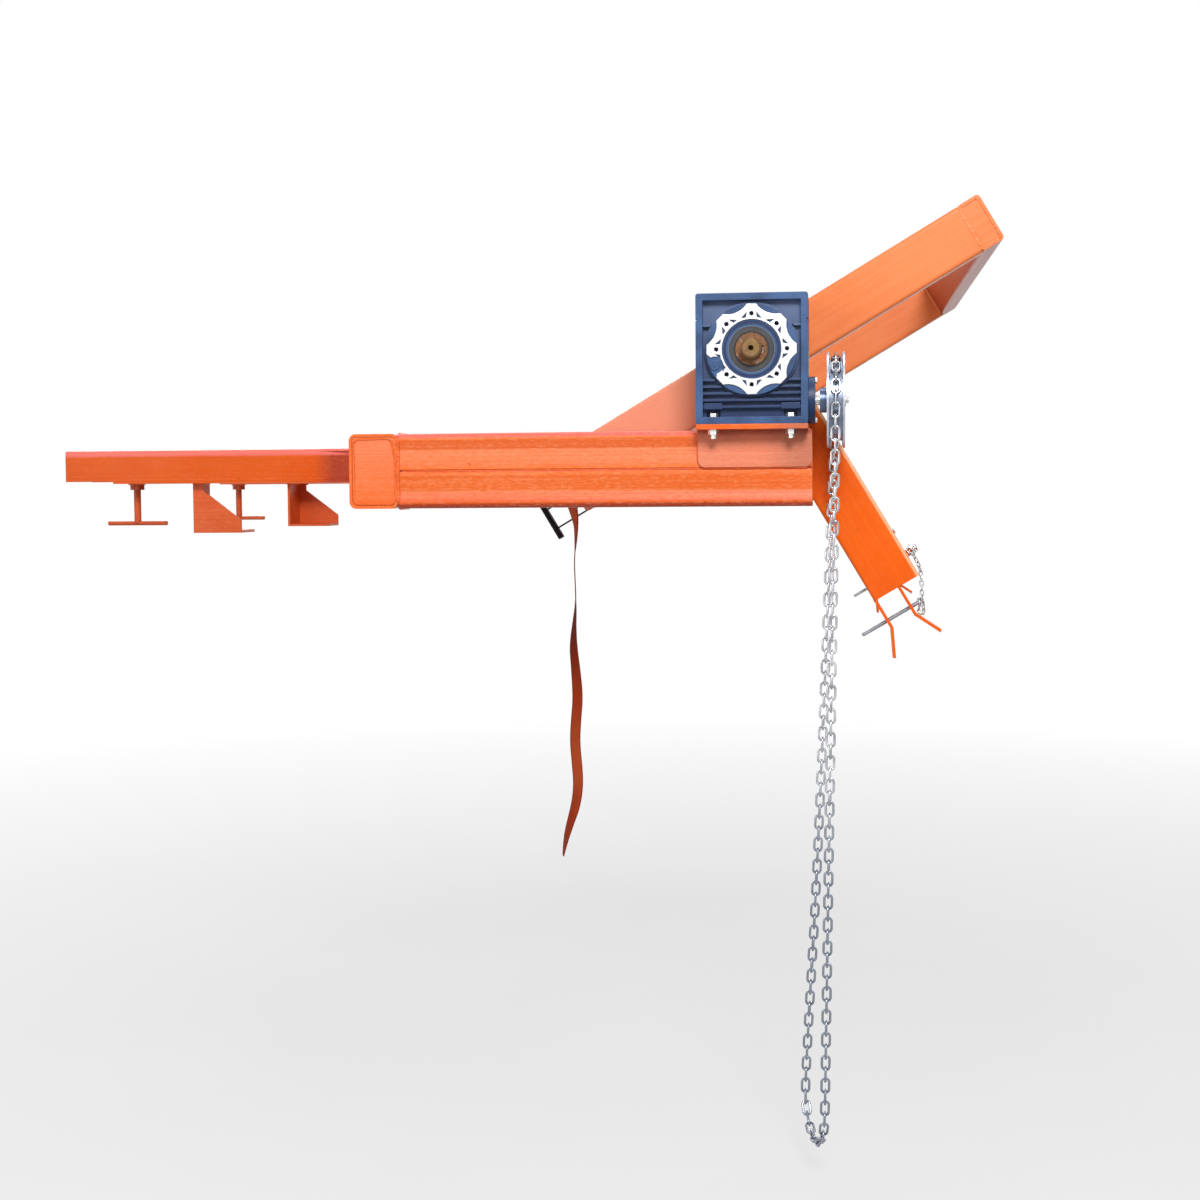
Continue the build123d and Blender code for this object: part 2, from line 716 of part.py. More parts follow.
# Output covers: a round plate with a machined star of eight lobes, a bearing seat and a seal seat
with BuildPart() as near_output_cover:
    lobe_step = 360 / star_lobes
    lobe_half = degrees(asin(star_lobe_half_width / star_radius))
    with BuildSketch(gear_plane.offset(cover_seat)):
        Circle(cover_radius)
    extrude(amount=cover_thickness)
    with BuildSketch(gear_plane.offset(cover_face)):
        with BuildLine():
            for i in range(star_lobes):
                middle = i * lobe_step
                Line(polar(star_radius, middle - lobe_half), polar(star_radius, middle + lobe_half))
                ThreePointArc(
                    polar(star_radius, middle + lobe_half),
                    polar(star_valley_radius, middle + lobe_step / 2),
                    polar(star_radius, middle + lobe_step - lobe_half),
                )
        make_face()
        Circle(star_inner_radius, mode=Mode.SUBTRACT)
        with Locations(polar(plug_circle, plug_angle)):
            Circle(plug_gap_radius, mode=Mode.SUBTRACT)
    extrude(amount=star_height)
    with BuildSketch(gear_plane.offset(cover_seat)):
        Circle(gear_bore_radius - cover_spigot_fit)
    extrude(amount=-cover_spigot_depth)
    with BuildSketch(gear_plane.offset(cover_seat - cover_spigot_depth)):
        Circle(output_bearing_diameter / 2)
    extrude(amount=output_bearing_width, mode=Mode.SUBTRACT)
    with BuildSketch(gear_plane.offset(cover_face)):
        Circle(journal_diameter / 2 + journal_clearance)
    extrude(amount=-(cover_thickness + cover_spigot_depth), mode=Mode.SUBTRACT)
    with BuildSketch(gear_plane.offset(cover_face)):
        Circle(output_seal_diameter / 2)
    extrude(amount=-output_seal_width, mode=Mode.SUBTRACT)
    with BuildSketch(gear_plane.offset(star_face)):
        for i in range(star_lobes):
            for turn in (-1, 1):
                middle = i * lobe_step
                corners = [polar(radius, middle + turn * angle) for radius, angle in star_pocket_corners]
                Polygon(*corners, align=None)
    extrude(amount=-star_pocket_depth, mode=Mode.SUBTRACT)
    with BuildSketch(gear_plane.offset(star_face)):
        with PolarLocations(star_hole_circle / 2, star_lobes):
            Circle(star_hole_diameter / 2)
    extrude(amount=-star_hole_depth, mode=Mode.SUBTRACT)
    with BuildSketch(gear_plane.offset(cover_face)):
        with Locations(polar(plug_circle, plug_angle)):
            Circle(plug_boss_radius)
    extrude(amount=plug_boss_height)
    with BuildSketch(gear_plane.offset(cover_face + plug_boss_height)):
        with Locations(polar(plug_circle, plug_angle)):
            Circle(plug_radius + plug_fit)
    extrude(amount=-plug_depth, mode=Mode.SUBTRACT)
keep(near_output_cover.part, "near_output_cover")
keep(mirror(near_output_cover.part, about=gear_plane), "far_output_cover")

with BuildPart() as oil_plugs:
    for side in (1, -1):
        with BuildSketch(gear_plane.offset(side * (cover_face + plug_boss_height))):
            with Locations(polar(plug_circle, plug_angle)):
                Circle(plug_radius)
        extrude(amount=-side * plug_depth)
keep(oil_plugs.part, "oil_plugs")

# Bearings and seals of the output shaft
bearing_place = cover_seat - cover_spigot_depth
near_bearing = rolling_bearing(
    gear_plane.offset(bearing_place),
    output_bearing_diameter / 2,
    journal_diameter / 2 + output_bearing_fit,
    output_bearing_width,
)
keep(Compound([near_bearing, mirror(near_bearing, about=gear_plane)]), "output_bearings")
near_seal = ring(
    gear_plane.offset(cover_face - output_seal_width),
    output_seal_diameter / 2,
    journal_diameter / 2 + output_seal_fit,
    output_seal_width,
)

# Hollow output shaft with the flange that carries the bronze gear ring
with BuildPart() as hollow_shaft:
    with BuildSketch(gear_plane.offset(-journal_end)):
        Circle(journal_diameter / 2)
    extrude(amount=2 * journal_end)
    with BuildSketch(gear_plane.offset(-bearing_place)):
        Circle(journal_shoulder_radius)
    extrude(amount=2 * bearing_place)
    with BuildSketch(gear_plane.offset(-wheel_face_half)):
        Circle(wheel_hub_radius)
    extrude(amount=2 * wheel_face_half)
    with BuildSketch(gear_plane.offset(-journal_end)):
        Circle(drive_shaft_diameter / 2 + drive_shaft_fit)
        with Locations((drive_shaft_diameter / 2 - key_shaft_depth + (key_height + key_fit) / 2, 0)):
            Rectangle(key_height + key_fit, key_width + 2 * key_fit)
    extrude(amount=2 * journal_end, mode=Mode.SUBTRACT)
keep(hollow_shaft.part, "hollow_shaft")

# Gear ring: straight-sided tooth spaces, set over by the lead angle of the worm
lead_angle = atan2(worm_module, worm_pitch_diameter)
flank = tan(radians(tooth_pressure_angle))
tooth_top = tooth_addendum * worm_module
tooth_root = tooth_dedendum * worm_module
space_reach = 2 * tooth_top
space_plane = Plane(
    origin=(pivot_x, -gear_mid_y, pivot_z - wheel_pitch_radius),
    x_dir=(cos(lead_angle), sin(lead_angle), 0),
    z_dir=(-sin(lead_angle), cos(lead_angle), 0),
)
with BuildPart() as tooth_space:
    with BuildSketch(space_plane):
        with BuildLine():
            Polyline(
                (tooth_space_width / 2 + space_reach * flank, space_reach),
                (-tooth_space_width / 2 - space_reach * flank, space_reach),
                (-tooth_space_width / 2 + tooth_root * flank, -tooth_root),
                (tooth_space_width / 2 - tooth_root * flank, -tooth_root),
                close=True,
            )
        make_face()
    extrude(amount=2 * wheel_face_half, both=True)
with BuildPart() as worm_wheel_ring:
    with BuildSketch(gear_plane.offset(-wheel_face_half)):
        Circle(wheel_pitch_radius + tooth_top)
        Circle(wheel_hub_radius, mode=Mode.SUBTRACT)
    extrude(amount=2 * wheel_face_half)
    add(
        [tooth_space.part.rotate(pivot_axis, i * 360 / wheel_teeth) for i in range(wheel_teeth)],
        mode=Mode.SUBTRACT,
    )
keep(worm_wheel_ring.part, "worm_wheel_ring")

# Worm shaft: one right-hand thread on its core, two journals and the input end
thread_pitch = pi * worm_module
thread_length = thread_turns * thread_pitch
worm_root_radius = worm_pitch_diameter / 2 - tooth_root
worm_left = -gear_width / 2 + worm_cap_thickness + worm_end_clearance
worm_right = gear_width / 2 + flange_thickness
worm_tip = chain_wheel_setback + chain_wheel_width / 2
bearing_near_end = gear_width / 2 - worm_bearing_inset
worm_core_half = thread_length / 2 + thread_pitch
with BuildLine() as thread_path:
    Helix(
        thread_pitch,
        thread_length,
        worm_root_radius,
        center=(pivot_x - thread_length / 2, -gear_mid_y, worm_z),
        direction=(1, 0, 0),
    )
thread_start = thread_path.line @ 0
thread_radial = (thread_start - Vector(thread_start.X, -gear_mid_y, worm_z)).normalized()
thread_plane = Plane(origin=thread_start, x_dir=thread_radial, z_dir=thread_path.line % 0)
thread_turn = degrees(atan2(thread_radial.Y, thread_radial.Z))
thread_base = thread_width / 2 + tooth_root * flank
thread_crest = thread_width / 2 - tooth_top * flank
with BuildPart() as worm_thread:
    with BuildSketch(thread_plane):
        with BuildLine():
            Polyline(
                (-thread_root_sink, -thread_base),
                (tooth_root + tooth_top, -thread_crest),
                (tooth_root + tooth_top, thread_crest),
                (-thread_root_sink, thread_base),
                close=True,
            )
        make_face()
    sweep(path=thread_path.line, is_frenet=True)
with BuildPart() as worm_shaft:
    with BuildSketch(worm_plane.offset(worm_left)):
        Circle(worm_journal_diameter / 2)
    extrude(amount=-worm_core_half - worm_left)
    with BuildSketch(worm_plane.offset(worm_core_half)):
        Circle(worm_journal_diameter / 2)
    extrude(amount=worm_right - worm_core_half)
    with BuildSketch(worm_plane.offset(-worm_core_half)):
        Circle(worm_root_radius)
    extrude(amount=2 * worm_core_half)
    with BuildSketch(worm_plane.offset(worm_right)):
        Circle(input_shaft_diameter / 2)
    extrude(amount=worm_tip - worm_right)
    with BuildSketch(worm_plane.offset(worm_tip)):
        Circle(wheel_bolt_diameter / 2)
    extrude(amount=-wheel_bolt_length, mode=Mode.SUBTRACT)
    add(worm_thread.part.rotate(worm_axis, thread_turn))
keep(worm_shaft.part, "worm_shaft")

# Worm bearings, blind cap, input flange and its seal
right_worm_bearing = rolling_bearing(
    worm_plane.offset(bearing_near_end - worm_bearing_width),
    worm_bearing_diameter / 2,
    worm_journal_diameter / 2 + worm_bearing_fit,
    worm_bearing_width,
)
left_worm_bearing = mirror(right_worm_bearing, about=worm_plane)
keep(Compound([left_worm_bearing, right_worm_bearing]), "worm_bearings")

with BuildPart() as worm_end_cap:
    with BuildSketch(worm_plane.offset(-gear_width / 2)):
        Circle(worm_bearing_diameter / 2)
    extrude(amount=worm_cap_thickness)
keep(worm_end_cap.part, "worm_end_cap")

with BuildPart() as input_flange:
    with BuildSketch(worm_plane.offset(gear_width / 2)):
        Circle(flange_diameter / 2)
    extrude(amount=flange_thickness)
    with BuildSketch(worm_plane.offset(gear_width / 2)):
        Circle(worm_bearing_diameter / 2)
    extrude(amount=-flange_spigot)
    with BuildSketch(worm_plane.offset(gear_width / 2 - flange_spigot)):
        Circle(worm_journal_diameter / 2 + flange_bore_clearance)
    extrude(amount=flange_spigot + flange_thickness, mode=Mode.SUBTRACT)
    with BuildSketch(worm_plane.offset(worm_right)):
        Circle(input_seal_diameter / 2)
    extrude(amount=-input_seal_width, mode=Mode.SUBTRACT)
    with BuildSketch(worm_plane.offset(worm_right)):
        with PolarLocations(flange_bolt_circle / 2, flange_bolt_count):
            Circle(flange_bolt_diameter / 2 + flange_hole_clearance)
    extrude(amount=-flange_thickness, mode=Mode.SUBTRACT)
keep(input_flange.part, "input_flange")
input_seal = ring(
    worm_plane.offset(worm_right - input_seal_width),
    input_seal_diameter / 2,
    worm_journal_diameter / 2 + input_seal_fit,
    input_seal_width,
)
keep(Compound([near_seal, mirror(near_seal, about=gear_plane), input_seal]), "oil_seals")
with BuildPart() as input_flange_bolts:
    with BuildSketch(worm_plane.offset(worm_right)):
        with PolarLocations(flange_bolt_circle / 2, flange_bolt_count):
            RegularPolygon(flange_bolt_head_flats / 2, 6, major_radius=False)
    extrude(amount=flange_bolt_head)
    with BuildSketch(worm_plane.offset(worm_right)):
        with PolarLocations(flange_bolt_circle / 2, flange_bolt_count):
            Circle(flange_bolt_diameter / 2)
    extrude(amount=-(flange_thickness + flange_bolt_depth))
keep(input_flange_bolts.part, "input_flange_bolts")

# Hand-chain wheel: two cheeks with pocket ribs, a seat for the flat links and a groove for the upright ones
with BuildPart() as chain_wheel:
    half = chain_wheel_width / 2
    cheek = half - chain_wheel_cheek
    groove = chain_wire / 2 + chain_side_gap / 2
    groove_radius = chain_radius - chain_link_width / 2 - chain_seat_gap
    rim_radius = chain_wheel_radius - chain_wheel_rim_depth - chain_link_width / 2
    hub_left = worm_right + chain_wheel_hub_gap - chain_wheel_setback
    bore = input_shaft_diameter / 2 + chain_wheel_fit
    web = chain_wheel_web / 2
    wheel_section = Plane(origin=(chain_wheel_x, -gear_mid_y, worm_z), x_dir=(1, 0, 0), z_dir=(0, -1, 0))
    with BuildSketch(wheel_section):
        with BuildLine():
            Polyline(
                (hub_left, bore),
                (hub_left, chain_wheel_hub_radius),
                (-web, chain_wheel_hub_radius),
                (-web, rim_radius),
                (-half, rim_radius),
                (-half, chain_wheel_radius),
                (-cheek, chain_wheel_radius),
                (-cheek, chain_seat_radius),
                (-groove, chain_seat_radius),
                (-groove, groove_radius),
                (groove, groove_radius),
                (groove, chain_seat_radius),
                (cheek, chain_seat_radius),
                (cheek, chain_wheel_radius),
                (half, chain_wheel_radius),
                (half, rim_radius),
                (web, rim_radius),
                (web, chain_wheel_hub_radius),
                (half, chain_wheel_hub_radius),
                (half, bore),
                close=True,
            )
        make_face()
    revolve(axis=worm_axis)
    rib_foot = chain_seat_radius - chain_rib_sink
    rib_height = chain_wheel_radius - chain_rib_rim_gap - rib_foot
    for base in (chain_wheel_setback - cheek, chain_wheel_setback + cheek - chain_rib_height):
        with BuildSketch(worm_plane.offset(base)):
            with PolarLocations(rib_foot + rib_height / 2, chain_rib_count):
                Rectangle(rib_height, chain_rib_width)
        extrude(amount=chain_rib_height)
keep(chain_wheel.part, "chain_wheel")

with BuildPart() as chain_wheel_bolt:
    with BuildSketch(worm_plane.offset(worm_tip)):
        Circle(wheel_washer_radius)
    extrude(amount=wheel_washer_thickness)
    with BuildSketch(worm_plane.offset(worm_tip + wheel_washer_thickness)):
        RegularPolygon(wheel_bolt_flats / 2, 6, major_radius=False)
    extrude(amount=wheel_bolt_head)
    with BuildSketch(worm_plane.offset(worm_tip)):
        Circle(wheel_bolt_diameter / 2)
    extrude(amount=-wheel_bolt_length)
keep(chain_wheel_bolt.part, "chain_wheel_bolt")


def cut_corners(length, width, corner):
    """Corner points of a rectangle whose corners are cut off."""
    x = length / 2
    y = width / 2
    return [
        (x, y - corner),
        (x - corner, y),
        (corner - x, y),
        (-x, y - corner),
        (-x, corner - y),
        (corner - x, -y),
        (x - corner, -y),
        (x, corner - y),
    ]


# Hand chain: a closed loop of welded links over the wheel, hanging past the part on both sides of it
wheel_centre = Vector(chain_wheel_x, -gear_mid_y, worm_z)
front_top = wheel_centre + Vector(0, -chain_radius, 0)
rear_top = wheel_centre + Vector(0, chain_radius, 0)
front_foot = front_top + Vector(chain_front_foot[0], 0, chain_front_foot[1])
rear_knee = rear_top + Vector(chain_rear_knee[0], 0, chain_rear_knee[1])
rear_foot = rear_top + Vector(chain_rear_foot[0], 0, chain_rear_foot[1])
loop_radius = (rear_foot - front_foot).length / 2
loop_bottom = (front_foot + rear_foot) * 0.5 + Vector(0, 0, -loop_radius)
with BuildLine() as chain_route:
    ThreePointArc(rear_top, wheel_centre + Vector(0, 0, chain_radius), front_top)
    Line(front_top, front_foot)
    ThreePointArc(front_foot, loop_bottom, rear_foot)
    Line(rear_foot, rear_knee)
    Line(rear_knee, rear_top)
chain_wire_path = chain_route.wire()
link_pairs = round(chain_wire_path.length / chain_pitch / 2)
link_step = chain_wire_path.length / link_pairs / 2
with BuildPart() as chain_link:
    link_length = link_step + chain_link_play + 2 * chain_wire
    with BuildSketch(Plane.XY.offset(-chain_wire / 2)):
        Polygon(*cut_corners(link_length, chain_link_width, chain_link_corner))
        inner_length = link_length - 2 * chain_wire
        inner_width = chain_link_width - 2 * chain_wire
        Polygon(*cut_corners(inner_length, inner_width, chain_link_inner_corner), mode=Mode.SUBTRACT)
    extrude(amount=chain_wire)
links = []
for i in range(2 * link_pairs):
    distance = (i + 0.5) * link_step
    spot = chain_wire_path.position_at(distance, position_mode=PositionMode.LENGTH)
    course = chain_wire_path.tangent_at(distance, position_mode=PositionMode.LENGTH)
    across = course.cross(Vector(1, 0, 0)).normalized()
    if i % 2:
        across = course.cross(across).normalized()
    links.append(chain_link.part.moved(Plane(origin=spot, x_dir=course, z_dir=across).location))
keep(Compound(links), "hand_chain")
print(f"hand chain: {len(links)} links at {link_step:.2f} mm, loop of {chain_wire_path.length:.0f} mm")

# Side beams of the cradle, with a bore for the pivot shafts
side_mid_y = cradle_half_width - side_width / 2
side_bottom = side_offset + side_height / 2
side_base = Plane(origin=cradle_point(-side_front, side_offset, -side_mid_y), x_dir=(0, 1, 0), z_dir=along)
side_length = side_front + side_back
near_side_tube = hollow_section(side_base, side_width, side_height, side_wall, side_corner, side_length)


def bored(tube, diameter):
    """A near side beam with a bore across it on the pivot axis."""
    with BuildPart() as beam:
        add(tube)
        with BuildSketch(cradle_side(-cradle_half_width)):
            Circle(diameter / 2 + shaft_seat_gap)
        extrude(amount=-side_width, mode=Mode.SUBTRACT)
    return beam.part


keep(bored(near_side_tube, drive_shaft_diameter), "near_side_beam")
keep(other_side(bored(near_side_tube, idle_shaft_diameter)), "far_side_beam")

# Back beam between the side beams, flush with their outer faces
back_mid = side_back + side_width / 2
back_start = cradle_point(back_mid, side_offset, -cradle_half_width)
back_base = Plane(origin=back_start, x_dir=along, z_dir=(0, 1, 0))
keep(
    hollow_section(back_base, side_width, side_height, side_wall, side_corner, 2 * cradle_half_width),
    "back_beam",
)
cradle_ends = [
    Plane(origin=cradle_point(back_mid, side_offset, s * cradle_half_width), x_dir=along, z_dir=(0, s, 0))
    for s in (-1, 1)
] + [
    Plane(
        origin=cradle_point(-side_front, side_offset, s * side_mid_y),
        x_dir=down,
        z_dir=along * -1,
    )
    for s in (-1, 1)
]
back_caps = section_caps(cradle_ends[:2], side_width, side_height, side_wall, side_corner)
front_caps = section_caps(cradle_ends[2:], side_height, side_width, side_wall, side_corner)
keep(Compound([*back_caps.solids(), *front_caps.solids()]), "cradle_caps")

# Lift arms below the side beams, and the plates that close their lower ends
lift_base = Plane(origin=cradle_point(lift_offset, side_bottom, -side_mid_y), x_dir=along, z_dir=down)
lift_length = lift_end - side_bottom
near_lift_arm = hollow_section(lift_base, lift_width, side_width, side_wall, side_corner, lift_length)
keep(near_lift_arm, "near_lift_arm")
keep(other_side(near_lift_arm), "far_lift_arm")
with BuildPart() as lift_arm_plates:
    for side in (-1, 1):
        end = Plane(origin=cradle_point(lift_offset, lift_end, side * side_mid_y), x_dir=along, z_dir=down)
        with BuildSketch(end):
            RectangleRounded(
                lift_width - 2 * (side_wall + cap_gap),
                side_width - 2 * (side_wall + cap_gap),
                side_corner - side_wall,
            )
        extrude(amount=-cap_thickness)
keep(lift_arm_plates.part, "lift_arm_plates")

# Trunnion forks: two plates below each lift arm that flare apart, with a hole across them for the pin
fork_left = lift_offset - lift_width / 2 + fork_plate
fork_right = fork_left + fork_gap
pin_w = lift_end + pin_distance
flare = radians(fork_flare_angle)
flare_u = fork_flare_length * sin(flare)
flare_w = fork_flare_length * cos(flare)
fork_miter = fork_plate * tan(flare / 2)


def fork_outline(inner_u, side):
    """Outline of one fork plate from its inner face, bent away from the gap; side is -1 or 1."""
    top = -lift_end
    bend = top - fork_straight
    tip_u = inner_u + side * flare_u
    tip_v = bend - flare_w
    return [
        (inner_u, top),
        (inner_u, bend),
        (tip_u, tip_v),
        (tip_u + side * fork_plate * cos(flare), tip_v + fork_plate * sin(flare)),
        (inner_u + side * fork_plate, bend + fork_miter),
        (inner_u + side * fork_plate, top),
    ]


pin_base = Plane(origin=cradle_point(-pin_front, pin_w, -side_mid_y), x_dir=(0, 1, 0), z_dir=along)
with BuildPart() as near_trunnion_fork:
    for inner_u, side in ((fork_left, -1), (fork_right, 1)):
        with BuildSketch(cradle_side(-cradle_half_width)):
            with BuildLine():
                Polyline(*fork_outline(inner_u, side), close=True)
            make_face()
        extrude(amount=-side_width)
    with BuildSketch(pin_base):
        Circle(pin_diameter / 2 + pin_fit)
    extrude(amount=pin_front + pin_back, mode=Mode.SUBTRACT)
keep(near_trunnion_fork.part, "near_trunnion_fork")
keep(other_side(near_trunnion_fork.part), "far_trunnion_fork")

# Trunnion pins: a rod with a flat eye for its tether
pin_eye_u = pin_back + pin_eye_radius
with BuildPart() as near_trunnion_pin:
    with BuildSketch(pin_base):
        Circle(pin_diameter / 2)
    extrude(amount=pin_front + pin_back + pin_eye_sink)
    chamfer(near_trunnion_pin.faces().sort_by(Axis(pivot, along))[0].edges(), pin_tip_chamfer)
    with BuildSketch(cradle_side(-side_mid_y).offset(-pin_eye_thickness / 2)):
        with Locations((pin_eye_u, -pin_w)):
            Circle(pin_eye_radius)
    extrude(amount=pin_eye_thickness)
    with BuildSketch(cradle_side(-side_mid_y).offset(-pin_eye_thickness / 2)):
        with Locations((pin_eye_u, -pin_w)):
            Circle(pin_eye_hole)
    extrude(amount=pin_eye_thickness, mode=Mode.SUBTRACT)
keep(near_trunnion_pin.part, "near_trunnion_pin")
keep(other_side(near_trunnion_pin.part), "far_trunnion_pin")

# Tether lugs on the lift arms, and the light chains that keep the pins, as plain tubes
lift_right = lift_offset + lift_width / 2
lug_u = lift_right + tether_lug_reach - tether_lug_width / 2
with BuildPart() as near_tether_lug:
    with BuildSketch(cradle_side(-side_mid_y).offset(-tether_lug_thickness / 2)):
        with Locations((lug_u, -tether_lug_height)):
            Circle(tether_lug_width / 2)
        with Locations(((lug_u + lift_right) / 2, -tether_lug_height)):
            Rectangle(lug_u - lift_right, tether_lug_width)
        with Locations((lug_u, -tether_lug_height)):
            Circle(tether_lug_hole, mode=Mode.SUBTRACT)
    extrude(amount=tether_lug_thickness)
keep(Compound([near_tether_lug.part.solid(), other_side(near_tether_lug.part).solid()]), "tether_lugs")

tether_first = (tether_points[0][0], tether_lug_height + tether_lug_width / 2 + tether_gap, 0.0)
eye_aim_u = tether_points[-1][0] - pin_eye_u
eye_aim_w = tether_points[-1][1] - pin_w
eye_share = (pin_eye_radius + tether_gap) / hypot(eye_aim_u, eye_aim_w)
tether_last = (pin_eye_u + eye_share * eye_aim_u, pin_w + eye_share * eye_aim_w, 0.0)
tether_route = [
    cradle_point(u, w, -side_mid_y - out) for u, w, out in [tether_first, *tether_points, tether_last]
]


def route_radii(points, share):
    """The largest even radii for a route: a share of the shorter run beside each corner."""
    radii = []
    for before, corner, after in zip(points, points[1:], points[2:]):
        turn = radians((corner - before).get_angle(after - corner))
        shorter = min((corner - before).length, (after - corner).length)
        radii.append(share * shorter / tan(turn / 2))
    return radii


tether_radii = route_radii(tether_route, route_turn_share)
with BuildPart() as near_pin_tether:
    with BuildLine() as tether_line:
        FilletPolyline(*tether_route, radius=tether_radii)
    with BuildSketch(Plane(origin=tether_line.line @ 0, z_dir=tether_line.line % 0)):
        Circle(tether_diameter / 2)
    sweep()
keep(near_pin_tether.part, "near_pin_tether")
keep(other_side(near_pin_tether.part), "far_pin_tether")
print("tether radii", [round(r, 1) for r in tether_radii], f"length {tether_line.wire().length:.0f} mm")

# Drive shaft through the gearbox, with its key, and the hubs welded to the side beams
drive_start = gear_mid_y + journal_end + drive_shaft_proud
drive_length = drive_start - (cradle_half_width - side_width) + shaft_inner_proud
key_start = gear_mid_y + key_length / 2
with BuildPart() as drive_shaft:
    with BuildSketch(Plane.XZ.offset(drive_start)):
        with Locations((pivot_x, pivot_z)):
            Circle(drive_shaft_diameter / 2)
    extrude(amount=-drive_length)
    chamfer(drive_shaft.faces().sort_by(Axis.Y)[0].edges(), shaft_chamfer)
    with BuildSketch(Plane.XZ.offset(drive_start)):
        with Locations((pivot_x, pivot_z)):
            Circle(drive_shaft_hole / 2)
    extrude(amount=-drive_shaft_hole_depth, mode=Mode.SUBTRACT)
    with BuildSketch(Plane.XZ.offset(key_start + key_fit)):
        with Locations((pivot_x + drive_shaft_diameter / 2 - key_shaft_depth / 2, pivot_z)):
            Rectangle(key_shaft_depth, key_width + 2 * key_fit)
    extrude(amount=-(key_length + 2 * key_fit), mode=Mode.SUBTRACT)
keep(drive_shaft.part, "drive_shaft")
with BuildPart() as shaft_key:
    with BuildSketch(Plane.XZ.offset(key_start)):
        with Locations((pivot_x + drive_shaft_diameter / 2 - key_shaft_depth + key_height / 2, pivot_z)):
            Rectangle(key_height, key_width)
    extrude(amount=-key_length)
keep(shaft_key.part, "shaft_key")
near_hub = ring(
    cradle_side(-cradle_half_width), hub_radius, drive_shaft_diameter / 2 + shaft_seat_gap, hub_length
)
far_hub = other_side(
    ring(cradle_side(-cradle_half_width), hub_radius, idle_shaft_diameter / 2 + shaft_seat_gap, hub_length)
)
keep(Compound([near_hub, far_hub]), "shaft_hubs")

# Far bearing: an upright plate on the far arm carries a flanged bearing unit for the idle shaft
stand_y = frame_half_width - arm_width + stand_inset + stand_plate / 2
unit_y = stand_y + stand_plate / 2
idle_end = unit_y + unit_depth + idle_shaft_proud
idle_length = idle_end - (cradle_half_width - side_width) + shaft_inner_proud
unit_plane = Plane(origin=(pivot_x, unit_y, pivot_z), x_dir=(1, 0, 0), z_dir=(0, 1, 0))
with BuildPart() as far_bearing_stand:
    stand_foot = beam_top + saddle_thickness
    with BuildSketch(Plane.XY.offset(beam_top)):
        with Locations((pivot_x, stand_y - stand_plate / 2 + stand_base_depth / 2)):
            Rectangle(2 * stand_half_width, stand_base_depth)
    extrude(amount=saddle_thickness)
    with BuildSketch(Plane.XZ.offset(-stand_y - stand_plate / 2)):
        with Locations((pivot_x, (stand_foot + pivot_z) / 2)):
            Rectangle(2 * stand_half_width, pivot_z - stand_foot)
        with Locations((pivot_x, pivot_z)):
            Circle(stand_top_radius)
            Circle(idle_shaft_diameter / 2 + stand_hole_clearance, mode=Mode.SUBTRACT)
            with GridLocations(unit_bolt_spacing, unit_bolt_spacing, 2, 2):
                Circle(unit_bolt_diameter / 2 + unit_bolt_clearance, mode=Mode.SUBTRACT)
    extrude(amount=stand_plate)
    gusset_foot = stand_base_depth - stand_plate
    for edge in (-stand_half_width, stand_half_width - stand_plate):
        with BuildSketch(Plane.YZ.offset(pivot_x + edge)):
            with BuildLine():
                Polyline(
                    (stand_y + stand_plate / 2, stand_foot),
                    (stand_y + stand_plate / 2 + gusset_foot, stand_foot),
                    (stand_y + stand_plate / 2, stand_foot + stand_gusset_height),
                    close=True,
                )
            make_face()
        extrude(amount=stand_plate)
keep(far_bearing_stand.part, "far_bearing_stand")

with BuildPart() as far_bearing_housing:
    with BuildSketch(unit_plane):
        RectangleRounded(unit_square, unit_square, unit_corner)
        with GridLocations(unit_bolt_spacing, unit_bolt_spacing, 2, 2):
            Circle(unit_bolt_diameter / 2 + unit_bolt_clearance, mode=Mode.SUBTRACT)
    extrude(amount=unit_flange)
    with BuildSketch(unit_plane.offset(unit_flange)):
        Circle(unit_barrel_radius)
    extrude(amount=unit_depth - unit_flange, taper=unit_barrel_taper)
    with BuildSketch(unit_plane):
        Circle(unit_bore_radius)
    extrude(amount=unit_depth, mode=Mode.SUBTRACT)
keep(far_bearing_housing.part, "far_bearing_housing")
keep(
    rolling_bearing(
        unit_plane.offset(unit_depth - insert_width),
        unit_bore_radius,
        idle_shaft_diameter / 2 + idle_shaft_fit,
        insert_width,
    ),
    "far_bearing_insert",
)
with BuildPart() as far_bearing_bolts:
    bolt_grip = stand_plate + unit_flange
    with BuildSketch(unit_plane.offset(unit_flange)):
        with GridLocations(unit_bolt_spacing, unit_bolt_spacing, 2, 2):
            RegularPolygon(unit_bolt_flats / 2, 6, major_radius=False)
    extrude(amount=unit_bolt_head)
    with BuildSketch(unit_plane.offset(unit_flange)):
        with GridLocations(unit_bolt_spacing, unit_bolt_spacing, 2, 2):
            Circle(unit_bolt_diameter / 2)
    extrude(amount=-bolt_grip)
    with BuildSketch(unit_plane.offset(-stand_plate)):
        with GridLocations(unit_bolt_spacing, unit_bolt_spacing, 2, 2):
            RegularPolygon(unit_bolt_flats / 2, 6, major_radius=False)
    extrude(amount=-unit_bolt_head)
keep(far_bearing_bolts.part, "far_bearing_bolts")

with BuildPart() as idle_shaft:
    with BuildSketch(Plane.XZ.offset(-idle_end)):
        with Locations((pivot_x, pivot_z)):
            Circle(idle_shaft_diameter / 2)
    extrude(amount=idle_length)
    chamfer(idle_shaft.faces().sort_by(Axis.Y)[-1].edges(), shaft_chamfer)
keep(idle_shaft.part, "idle_shaft")

